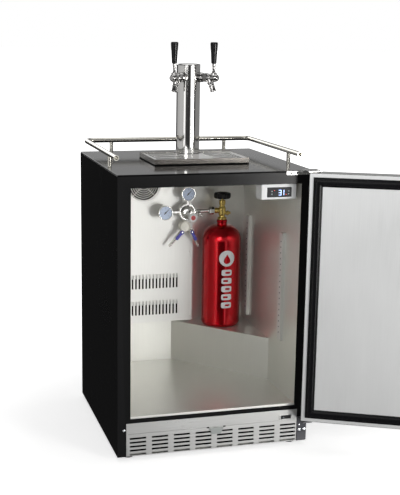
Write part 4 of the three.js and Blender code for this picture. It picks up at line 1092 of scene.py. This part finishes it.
def dress_faucet(name, side):
    """One faucet: shank, body with spout and bonnet, lever and handle."""
    foot = faucet_point(side, 0, SHANK_Z)
    tip = faucet_point(side, 0.1, SHANK_Z)
    collar = mm(
        (0, 30), (11, 30), (11, 34), (15.5, 34), (15.5, 49.5), (14.8, 52), (12.6, 54.5), (11.2, 56),
        (11.2, 56.5), (0, 56.5),
    )
    nut = mm((0, 56), (13.2, 56), (14, 57.2), (14, 68.6), (13.2, 69.8), (0, 69.8))
    shank = joined(
        lathe_along(foot, tip, collar, 64, 0.0006),
        lathe_along(foot, tip, nut, 6, 0.0002),
        ridges(foot, tip),
    )
    instead(f"faucet_shank_{name}", shank, "shaded_faucet_chrome")

    barrel = mm(
        (0, 70.3), (12.5, 70.3), (13, 72.2), (13, 75.5), (11.6, 77.2), (10.8, 79), (11.6, 81.2),
        (13, 84), (13.3, 91), (12.6, 98.5), (10, 104.5), (7, 107.6), (0, 108),
    )
    root = faucet_point(side, 0.076, SHANK_Z - 0.004)
    mouth = faucet_point(side, REACH, 1.078)
    length = (mouth - root).length
    spout = [
        (0, 0), (0.0112, 0), (0.0106, length * 0.28), (0.0092, length * 0.46), (0.0092, length * 0.52),
        (0.0098, length * 0.54), (0.0098, length * 0.58), (0.0091, length * 0.6),
        (0.009, length * 0.8), (0.0096, length - 0.001), (0.0094, length), (0.007, length),
        (0.0066, length - 0.002), (0.0066, length - 0.013), (0, length - 0.013),
    ]
    bonnet = mm(
        (0, 0), (10.8, 0), (11, 8), (12, 9.2), (12, 13), (10.6, 14.6), (10, 20.5), (9.2, 21.5),
        (7.4, 21.5), (7.2, 17.2), (0, 17),
    )
    body = joined(
        lathe_along(foot, tip, barrel, 64, 0.0012),
        lathe_along(root, mouth, spout, 48, 0.0006),
        revolved(bonnet, faucet_point(side, REACH, SHANK_Z - 0.006), UP, 48, 0.0006),
    )
    instead(f"faucet_body_{name}", body, "shaded_faucet_chrome")

    lever = mm(
        (0, 1133), (3, 1133.8), (5.2, 1136), (6, 1139), (5.2, 1142), (3.8, 1144), (3.4, 1145.6),
        (3.8, 1146.6), (5.6, 1147.4), (5.8, 1150), (5, 1151.6), (5, 1156), (5.8, 1158), (6, 1164),
        (5.4, 1165), (0, 1165),
    )
    pivot = faucet_point(side, REACH, 0)
    instead(f"faucet_lever_{name}", revolved(lever, pivot, UP, 40, 0.0005), "shaded_faucet_chrome")
    handle = mm(
        (0, 1165.3), (7.6, 1165.3), (8.3, 1166.2), (8.6, 1170), (9.3, 1185), (10.3, 1203), (11.4, 1220),
        (11.9, 1226.8), (11.6, 1229.5), (9.8, 1231.2), (5, 1231.5), (0, 1231.5),
    )
    instead(f"tap_handle_{name}", revolved(handle, pivot, UP, 56, 0.0012), "handle")


def ridges(foot, tip):
    """Fine thread ridges on the shank between its collar and its nut."""
    heading = (tip - foot).normalized()
    rings = []
    for index in range(3):
        centre = foot + heading * (0.0548 + index * 0.0007)
        rings.append(swept(circle_points(centre, 0.0118, heading, 32), 0.0003, 6, True))
    return joined(*rings)


GRATE_PITCH = 0.0092
GRATE_SLOT = 0.005
GRATE_ROWS = 4
GRATE_BAR = 0.0055
GRATE_RIM = 0.011
GRATE_PLAIN = 0.044


def dress_tray():
    """The drip tray and its slotted grate, cut out round the column."""
    softened("drip_tray", "tray", 0.0012, 3)
    low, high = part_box("drip_grate")
    centre = middle("tower_column")
    recess = 0.0424
    outline = [(low.x, low.y), (high.x, low.y), (high.x, high.y), (centre.x + recess, high.y)]
    for step in range(25):
        angle = -math.pi * step / 24
        outline.append((centre.x + recess * math.cos(angle), centre.y + recess * math.sin(angle)))
    outline += [(centre.x - recess, high.y), (low.x, high.y)]
    # Painted shade: a black sheet on the tray's floor makes the space under the grate look dark.
    tray_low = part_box("drip_tray")[0]
    well = plate(outline, [], 0.0004, Matrix.Translation((0, 0, tray_low.z + 0.0038)), 0.0001)
    detail("tray_shade_sheet", well, "shadow", "drip_tray")
    dress_tray_shadow_line()
    holes = []
    row_pitch = (high.y - low.y - 2 * GRATE_RIM + GRATE_BAR) / GRATE_ROWS
    columns = int((high.x - low.x - 2 * GRATE_RIM + GRATE_PITCH - GRATE_SLOT) / GRATE_PITCH)
    for column in range(columns):
        x = low.x + GRATE_RIM + column * GRATE_PITCH
        if abs(x + GRATE_SLOT / 2 - centre.x) < GRATE_PLAIN:
            continue
        for row in range(GRATE_ROWS):
            y = low.y + GRATE_RIM + row * row_pitch
            holes.append(slot_outline(x, y, x + GRATE_SLOT, y + row_pitch - GRATE_BAR, 0.0024, 3))
    level = (low.z + high.z) / 2
    grate = plate(outline, holes, high.z - low.z, Matrix.Translation((0, 0, level)), 0.0004)
    instead("drip_grate", grate, "grate")


def dress_tray_shadow_line():
    """A black strip round the tray's lower edge, where it stands on the worktop: a painted shadow line
    under its front and sides.
    """
    low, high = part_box("drip_tray")
    proud = 0.0002
    top = low.z + 0.0032
    strips = [
        block((low.x - proud, low.y - proud, low.z), (high.x + proud, low.y + proud, top), 0.0001, 1),
        block((low.x - proud, low.y - proud, low.z), (low.x + proud, high.y + proud, top), 0.0001, 1),
        block((high.x - proud, low.y - proud, low.z), (high.x + proud, high.y + proud, top), 0.0001, 1),
    ]
    detail("tray_shadow_strip", joined(*strips), "shadow", "drip_tray")


# ---------- gas cylinder ----------
def dress_tank():
    """The gas cylinder with its valve and handwheel."""
    centre = middle("co2_cylinder")
    low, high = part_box("co2_cylinder")
    radius = (high.x - low.x) / 2
    base = low.z
    neck, shoulder, rise = 0.017, 0.564, 0.052
    profile = [(0, base + 0.004), (radius - 0.016, base + 0.004), (radius - 0.01, base)]
    profile += [(radius - 0.004, base + 0.0015), (radius, base + 0.01), (radius, 0.45)]
    for step in range(17):
        angle = math.pi / 2 * step / 16
        profile.append((neck + (radius - neck) * math.cos(angle), shoulder + rise * math.sin(angle)))
    profile += [(neck, high.z - 0.009), (neck + 0.0012, high.z - 0.008), (neck + 0.0012, high.z - 0.001)]
    profile += [(neck, high.z), (0, high.z)]
    tank = revolved(profile, (centre.x, centre.y, 0), UP, 128, 0.0006)
    instead("co2_cylinder", tank, "tank", smooth=50)
    mark_tank(centre, radius)

    stem = mm(
        (0, 633.3), (15, 633.3), (15.6, 635), (15.6, 639.5), (14, 641.2), (10.2, 642.4), (9.6, 647),
        (12.2, 650), (12.6, 656), (12.6, 672), (10.4, 677.2), (9, 680), (8.6, 683.8), (11.2, 685),
        (11.4, 687), (10.8, 688), (10.8, 689.6), (11.4, 690.6), (11.4, 699), (8.8, 700.8), (4, 701.2),
        (4, 713), (0, 713),
    )
    outlet_z = 0.665
    outlet = mm(
        (0, 0), (8.6, 0), (8.6, 17), (9.6, 18), (9.6, 21), (8.8, 22), (8.8, 23.6), (9.2, 24.2),
        (9.2, 25.6), (8.8, 26.2), (8.8, 29), (0, 29),
    )
    plug = mm((0, 0), (6.2, 0), (6.2, 16), (8.4, 16.8), (8.4, 22.2), (5, 23.6), (4.4, 29.5), (0, 30))
    valve = joined(
        revolved(stem, (centre.x, centre.y, 0), UP, 48, 0.0005),
        revolved(outlet, (centre.x, centre.y, outlet_z), (-1, 0, 0), 40, 0.0003),
        revolved(plug, (centre.x, centre.y, 0.655), (1, 0, 0), 6, 0.0003),
    )
    instead("cylinder_valve", valve, "brass")
    wheel = mm(
        (0, 713.6), (4.4, 713.4), (4.4, 706.6), (8, 706), (24, 706.2), (28.6, 708.5), (30, 712.5),
        (30, 720), (28.4, 724.2), (25, 725.8), (21, 725), (12, 722.6), (9, 722.4), (7.8, 724.6),
        (3, 725), (0, 725),
    )
    mesh = revolved(wheel, (centre.x, centre.y, 0), UP, 128, 0.001, flutes=8, flute_depth=0.0044)
    instead("valve_handwheel", mesh, "black_plastic", smooth=50)


def oval(u, v, half_u, half_v, power=2.0, count=48):
    """A rounded outline; a higher power makes it squarer."""
    points = []
    for step in range(count):
        angle = 2 * math.pi * step / count
        c, s = math.cos(angle), math.sin(angle)
        bulge = (abs(c) ** power + abs(s) ** power) ** (-1 / power)
        points.append((u + half_u * c * bulge, v + half_v * s * bulge))
    return points


def drop(u, v, size, count=48):
    """A drop with its point upwards."""
    points = []
    for step in range(count):
        angle = 2 * math.pi * step / count
        width = math.sin(angle) * math.sin(angle / 2) ** 1.5
        points.append((u + size * 0.95 * width, v + size * (math.cos(angle) * 0.95 - 0.05)))
    return points


STRIPE_COUNT = 5
STRIPE_TOP = 0.46
STRIPE_PITCH = 0.0285
DECAL_DEPTH = 0.00025
OVERPRINT_DEPTH = 0.0004


def mark_tank(centre, radius):
    """A plain generic mark: a white disc with a drop, and a column of stripes under it."""
    disc = decal(oval(0, 0.5095, 0.0275, 0.0275), centre, radius, DECAL_DEPTH)
    detail("tank_mark_disc", disc, "decal", "co2_cylinder", "white_plastic")
    middle_drop = decal(drop(0, 0.5085, 0.0175), centre, radius, OVERPRINT_DEPTH)
    detail("tank_mark_drop", middle_drop, "tank", "co2_cylinder")
    stripes = []
    windows = []
    for index in range(STRIPE_COUNT):
        height = STRIPE_TOP - index * STRIPE_PITCH
        offset = 0.0035 * (-1) ** index
        stripes.append(decal(oval(0, height, 0.018, 0.0105, 5.0), centre, radius, DECAL_DEPTH))
        windows.append(decal(oval(offset, height, 0.0088, 0.0036, 3.0), centre, radius, OVERPRINT_DEPTH))
    detail("tank_mark_stripes", joined(*stripes), "decal", "co2_cylinder", "white_plastic")
    detail("tank_mark_windows", joined(*windows), "tank", "co2_cylinder")


# ---------- regulator ----------
SHUTOFFS = {"left": ((0.0155, 0.596), (-0.027, 0.548)), "right": ((0.051, 0.596), (0.077, 0.545))}
CORE = Vector((0.034, 0.165, 0.665))
MANIFOLD = Vector((0.028, 0.176, 0.615))
SHUTOFF_PLANE = 0.158
BOLT_COUNT = 6
BOLT_CIRCLE = 0.0258


def dress_regulator():
    """The regulator with its pipe, gauges, knob, relief valve and shut-offs."""
    body = mm(
        (0, -16), (28, -16), (30, -14.5), (30, -4), (28.6, -3), (28.6, -1), (30, 0), (30, 13), (28, 16),
        (23.5, 16), (22.2, 13.5), (19.5, 9.5), (15, 6.6), (9, 5), (0, 4.6),
    )
    pieces = [revolved(body, CORE, FRONTWARD, 72, 0.0008)]
    for index in range(BOLT_COUNT):
        angle = math.radians(360 / BOLT_COUNT * index + 20)
        spot = CORE + Vector((BOLT_CIRCLE * math.cos(angle), -0.0155, BOLT_CIRCLE * math.sin(angle)))
        bolt = mm((0, 0), (2.1, 0), (2.1, 0.5), (0, 0.5))
        pieces.append(revolved(bolt, spot, FRONTWARD, 6, 0.0001))
    pipe = mm(
        (0, 20), (5.6, 20), (5.6, 40), (7.2, 41), (7.2, 49), (5.6, 50), (5.6, 76), (7, 78), (7, 81),
        (0, 81),
    )
    pieces.append(revolved(pipe, CORE, (1, 0, 0), 40, 0.0005))
    nut = mm((0, 80.5), (12.2, 80.5), (13.5, 82.2), (13.5, 96.8), (12.2, 98.4), (0, 98.4))
    pieces.append(revolved(nut, CORE, (1, 0, 0), 6, 0.0002))
    relief = mm((0, 0), (4.2, 0), (4.2, 10), (3.6, 13.8), (0, 14))
    pieces.append(lathe_along((0.078, 0.165, 0.665), (0.078, 0.151, 0.661), relief, 24, 0.0003))
    neck = mm((0, 0), (8, 0), (8, 26), (9, 28), (9, 34), (0, 34))
    pieces.append(lathe_along((0.028, 0.165, 0.612), (0.034, 0.165, 0.645), neck, 6, 0.0003))
    port = mm((0, 0), (5.5, 0), (5.5, 12), (6.6, 12.5), (6.6, 20), (5.5, 20.5), (5.5, 34), (0, 34))
    pieces.append(lathe_along((0.008, 0.154, 0.666), (-0.026, 0.154, 0.666), port, 6, 0.0002))
    short = [(r, h * 0.55) for r, h in port]
    pieces.append(lathe_along((0.0355, 0.154, 0.6905), (0.0355, 0.154, 0.72), short, 6, 0.0002))
    for name, (pivot, tip) in SHUTOFFS.items():
        pieces.append(shutoff(pivot, tip))
    instead("regulator_body", joined(*pieces), "chrome")

    disc = mm((0, 0), (18.5, 0), (19.5, 1.2), (19.5, 24), (18, 26.2), (15, 27), (13.5, 25.8), (0, 25.8))
    manifold = revolved(disc, MANIFOLD, FRONTWARD, 56, 0.0008)
    detail("manifold", manifold, "cream", "regulator_body")

    for name in ("left", "top"):
        dress_gauge(name)

    knob = mm(
        (0, -7.5), (4, -7.5), (4, -0.5), (14, 0), (15.5, 2), (15.5, 11), (14, 13.8), (12.5, 14.6),
        (9.2, 14.6), (8.4, 13.6), (0, 13.6),
    )
    spot = Vector(JOINTS["pressure_knob_turn"]["pos_m"])
    spot.y = 0.144
    mesh = revolved(knob, spot, FRONTWARD, 96, 0.0006, flutes=16, flute_depth=0.0014)
    instead("adjusting_knob", mesh, "decal", smooth=50)
    button = mm((0, 13), (8, 13), (7.8, 14.3), (0, 14.5))
    centre = revolved(button, spot, FRONTWARD, 40, 0.0003)
    detail("knob_centre", centre, "red_plastic", "adjusting_knob", "red_paint")

    low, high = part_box("relief_ring")
    middle_x = (low.x + high.x) / 2
    ring = swept(circle_points((middle_x, 0.146, 0.655), 0.0066, FRONTWARD, 40), 0.0011, 10, True)
    pin = mm((0, 0), (1.7, 0), (1.7, 4.5), (2.4, 5), (2, 6), (0, 6.2))
    stem = revolved(pin, (middle_x, 0.1505, 0.6605), FRONTWARD, 16, 0.0002)
    instead("relief_ring", joined(ring, stem), "chrome")
    for name, (pivot, tip) in SHUTOFFS.items():
        dress_lever(name, pivot, tip)


def shutoff(pivot, tip):
    """A shut-off valve body with a hose barb, in the plane of the manifold."""
    start = Vector((pivot[0], SHUTOFF_PLANE, pivot[1]))
    end = Vector((tip[0], SHUTOFF_PLANE, tip[1]))
    length = (end - start).length
    body = [
        (0, -length * 0.12), (0.0066, -length * 0.12), (0.0076, -length * 0.09),
        (0.0076, length * 0.26), (0.0064, length * 0.29), (0.0064, length * 0.33),
        (0.0072, length * 0.34), (0.0072, length * 0.42), (0.0042, length * 0.44),
        (0.0038, length * 0.52),
    ]
    for index in range(4):
        at = length * (0.55 + index * 0.105)
        body += [(0.0052, at), (0.0052, at + 0.0008), (0.0038, at + 0.0052)]
    body += [(0.0036, length), (0, length)]
    link = mm((0, 0), (6, 0), (6, 22), (0, 22))
    boss = mm((0, 0), (5, 0), (5, 8.6), (0, 8.8))
    return joined(
        lathe_along(start, end, body, 32, 0.0003),
        lathe_along((0.028, 0.16, 0.612), start, link, 24, 0.0003),
        revolved(boss, start, FRONTWARD, 24, 0.0003),
    )


def dress_lever(name, pivot, tip):
    """A vinyl-dipped lever plate with a rounded grip end and its rivet."""
    node = f"shutoff_lever_{name}"
    angle = math.atan2(tip[1] - pivot[1], tip[0] - pivot[0])
    low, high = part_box(node)
    outline = []
    for step in range(13):
        turn = math.pi / 2 + math.pi * step / 12
        outline.append((0.0065 * math.cos(turn), 0.0065 * math.sin(turn)))
    outline.append((0.009, -0.0046))
    for step in range(9):
        turn = -math.pi / 2 + math.pi * step / 8
        outline.append((0.0265 + 0.0055 * math.cos(turn), 0.0058 * math.sin(turn)))
    outline.append((0.009, 0.0046))
    centre = (low.y + high.y) / 2
    # The sheet is drawn along X, turned to the valve's direction, then stood upright.
    place = Matrix.Translation((pivot[0], centre, pivot[1])) @ Matrix.Rotation(math.radians(90), 4, "X")
    mesh = plate(outline, [], high.y - low.y, place @ Matrix.Rotation(angle, 4, "Z"), 0.0008)
    instead(node, mesh, "blue")
    head = mm((0, 0), (3, 0), (2.8, 0.8), (0, 1.2))
    rivet = revolved(head, (pivot[0], low.y + 0.0003, pivot[1]), FRONTWARD, 24, 0.0002)
    detail(f"lever_rivet_{name}", rivet, "chrome", node, "bright")


def dress_gauge(name):
    """One gauge: case, dial with marks and numbers, and pointer."""
    node = f"gauge_{name}"
    low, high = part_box(node)
    centre = middle(node)
    radius = (high.x - low.x) / 2
    back = Vector((centre.x, high.y, centre.z))
    depth = high.y - low.y
    case = [
        (0, 0), (radius - 0.0035, 0), (radius - 0.001, 0.0024), (radius - 0.001, depth - 0.007),
        (radius, depth - 0.006), (radius, depth - 0.0012), (radius - 0.0008, depth),
        (radius - 0.0024, depth), (radius - 0.003, depth - 0.0012), (radius - 0.003, depth - 0.0052),
        (0, depth - 0.0054),
    ]
    instead(node, revolved(case, back, FRONTWARD, 72, 0.0005), "chrome")
    dial_radius = radius - 0.0031
    face = back + FRONTWARD * (depth - 0.0054)
    profile = [(0, 0), (dial_radius, 0), (dial_radius, 0.0004), (0, 0.0004)]
    disc = revolved(profile, face, FRONTWARD, 72, 0.0001)
    detail(f"dial_{name}", disc, "dial", node)
    marks = []
    front = face + FRONTWARD * 0.0004
    for step in range(DIAL_STEPS + 1):
        angle = math.radians(DIAL_START - DIAL_SWEEP * step / DIAL_STEPS)
        long_mark = step % 5 == 0
        length = 0.003 if long_mark else 0.0016
        width = 0.00055 if long_mark else 0.0003
        outer = dial_radius - 0.0012
        mark = block((outer - length, -0.0001, -width / 2), (outer, 0.0001, width / 2), 0)
        mark.transform(Matrix.Translation(front) @ Matrix.Rotation(-angle, 4, "Y"))
        marks.append(mark)
    detail(f"dial_marks_{name}", joined(*marks), "ink", node, "needle")
    for index in range(DIAL_STEPS // 5 + 1):
        angle = math.radians(DIAL_START - DIAL_SWEEP * index * 5 / DIAL_STEPS)
        spot = front + Vector((math.cos(angle), 0, math.sin(angle))) * (dial_radius * 0.66)
        numeral(f"dial_number_{name}_{index}", str(index * 10), spot, 0.003, node)
    dress_needle(name, radius)


def numeral(name, characters, spot, size, node):
    """A small printed number that faces the front."""
    curve = bpy.data.curves.new(name, "FONT")
    curve.body = characters
    curve.size = size
    curve.align_x = "CENTER"
    curve.align_y = "CENTER"
    curve.extrude = INK_DEPTH
    mesh = evaluated_mesh(curve)
    mesh.transform(Matrix.Translation(spot) @ Matrix.Rotation(math.radians(90), 4, "X"))
    detail(name, mesh, "ink", node, "needle")


def dress_needle(name, radius):
    """A tapered pointer at forty-five degrees with a counterweight tail."""
    node = f"gauge_needle_{name}"
    low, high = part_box(node)
    joint = Vector(JOINTS[f"{name}_needle_turn"]["pos_m"])
    level = (low.y + high.y) / 2
    tail, tip = 0.28 * radius, 0.64 * radius
    outline = [(-tail, -0.0013), (-tail * 0.5, -0.0008), (0, -0.0012), (tip, -0.0003), (tip, 0.0003)]
    outline += [(0, 0.0012), (-tail * 0.5, 0.0008), (-tail, 0.0013)]
    place = Matrix.Translation((joint.x, level, joint.z)) @ Matrix.Rotation(math.radians(90), 4, "X")
    pointer = plate(outline, [], 0.0006, place @ Matrix.Rotation(math.radians(45), 4, "Z"), 0.0001)
    hub = revolved(
        [(0, 0), (0.0024, 0), (0.0024, 0.0018), (0.0016, 0.0023), (0, 0.0023)],
        (joint.x, high.y, joint.z),
        FRONTWARD,
        24,
        0.0002,
    )
    instead(node, joined(pointer, hub), "ink")


# ---------- machine compartment ----------
def dress_machinery():
    """The compressor, condenser and its fan, behind the kick grille."""
    centre = middle("compressor")
    low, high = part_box("compressor")
    can = [
        (0, 0.016), (0.054, 0.016), (0.062, 0.026), (0.062, 0.088), (0.066, 0.09),
        (0.066, 0.095), (0.062, 0.097), (0.062, 0.14), (0.052, 0.162), (0.03, 0.176),
        (0, high.z),
    ]
    shell = revolved(can, (centre.x, centre.y, 0), UP, 72, 0.003)
    plate_mesh = block((low.x, low.y, low.z), (high.x, high.y, 0.017), 0.003)
    instead("compressor", joined(shell, plate_mesh), "cabinet", smooth=50)
    softened("condenser", "dark_steel", 0.0004, 1)
    instead("condenser_fan", fan_rotor("condenser_fan", 0.013, 0.036), "black_plastic")


# ---------- door ----------
def door_frame():
    """The matrix that takes the closed door, measured from its hinge, to where it stands open."""
    hinge = Vector(JOINTS["door_hinge"]["pos_m"])
    swing = -math.radians(JOINTS["door_hinge"]["range_deg"][0])
    return Matrix.Translation((hinge.x, hinge.y, 0)) @ Matrix.Rotation(swing, 4, "Z")


def local_box(node, frame_matrix):
    """A CAD node's lowest and highest corners in a turned frame."""
    inverse = frame_matrix.inverted()
    points = [inverse @ vertex.co for vertex in NODES[node].data.vertices]
    low = Vector([min(point[axis] for point in points) for axis in range(3)])
    high = Vector([max(point[axis] for point in points) for axis in range(3)])
    return low, high


def dress_door():
    """The door with its hem, gasket and bar handle."""
    place = door_frame()
    low, high = local_box("door_skin", place)
    softened("door_skin", "door_skin", 0.0016, 3)
    softened("door_inner_panel", "door_panel", 0.0022, 3)
    repaint("door_foam", "foam")
    inner = high.y
    section = [
        (0.0123, inner - 0.0014), (0.0123, inner + 0.003), (0.013, inner + 0.0038),
        (0.0182, inner + 0.004), (0.0192, inner + 0.0048), (0.0199, inner + 0.008),
        (0.0212, inner + 0.0096), (0.024, inner + 0.01), (0.03, inner + 0.01),
        (0.0326, inner + 0.0095), (0.0338, inner + 0.0078), (0.0345, inner + 0.006),
        (0.0358, inner + 0.0053), (0.0384, inner + 0.005), (0.0394, inner + 0.004),
        (0.0394, inner - 0.0014),
    ]
    hem = [
        (0.001, inner - 0.0002), (0.0014, inner + 0.0004), (0.0118, inner + 0.0004),
        (0.012, inner - 0.0002),
    ]
    detail("door_hem", rounded_frame(hem, low, high, place), "door_panel", "door_skin")
    gasket = bevelled(rounded_frame(section, low, high, place), 0.0005, 2, 20)
    instead("door_gasket", gasket, "rubber", smooth=50)

    bar_low, bar_high = local_box("door_handle", place)
    radius = 0.0095
    x = (bar_low.x + bar_high.x) / 2
    y = bar_low.y + radius
    ends = 0.0018
    length = bar_high.z - bar_low.z
    bar = [(0, 0), (radius - ends, 0), (radius, ends)]
    bar += [(radius, length - ends), (radius - ends, length), (0, length)]
    grip = revolved(bar, place @ Vector((x, y, bar_low.z)), UP, 64, 0.0006)
    posts = []
    for z in (bar_low.z + 0.03, bar_high.z - 0.03):
        reach = low.y - 0.0003 - y
        post = [(0, 0), (0.007, 0), (0.007, reach - 0.004)]
        post += [(0.0095, reach - 0.003), (0.0095, reach), (0, reach)]
        start = place @ Vector((x, y, z))
        posts.append(lathe_along(start, place @ Vector((x, y + 0.1, z)), post, 40, 0.0005))
    instead("door_handle", joined(grip, *posts), "door_skin")


make_camera()
make_studio()
make_floor()
dress_cabinet()
dress_ribs()
dress_kick()
dress_hinges()
dress_cooler()
dress_controller()
dress_rail()
dress_tower()
dress_tray()
dress_tank()
dress_regulator()
dress_machinery()
dress_door()
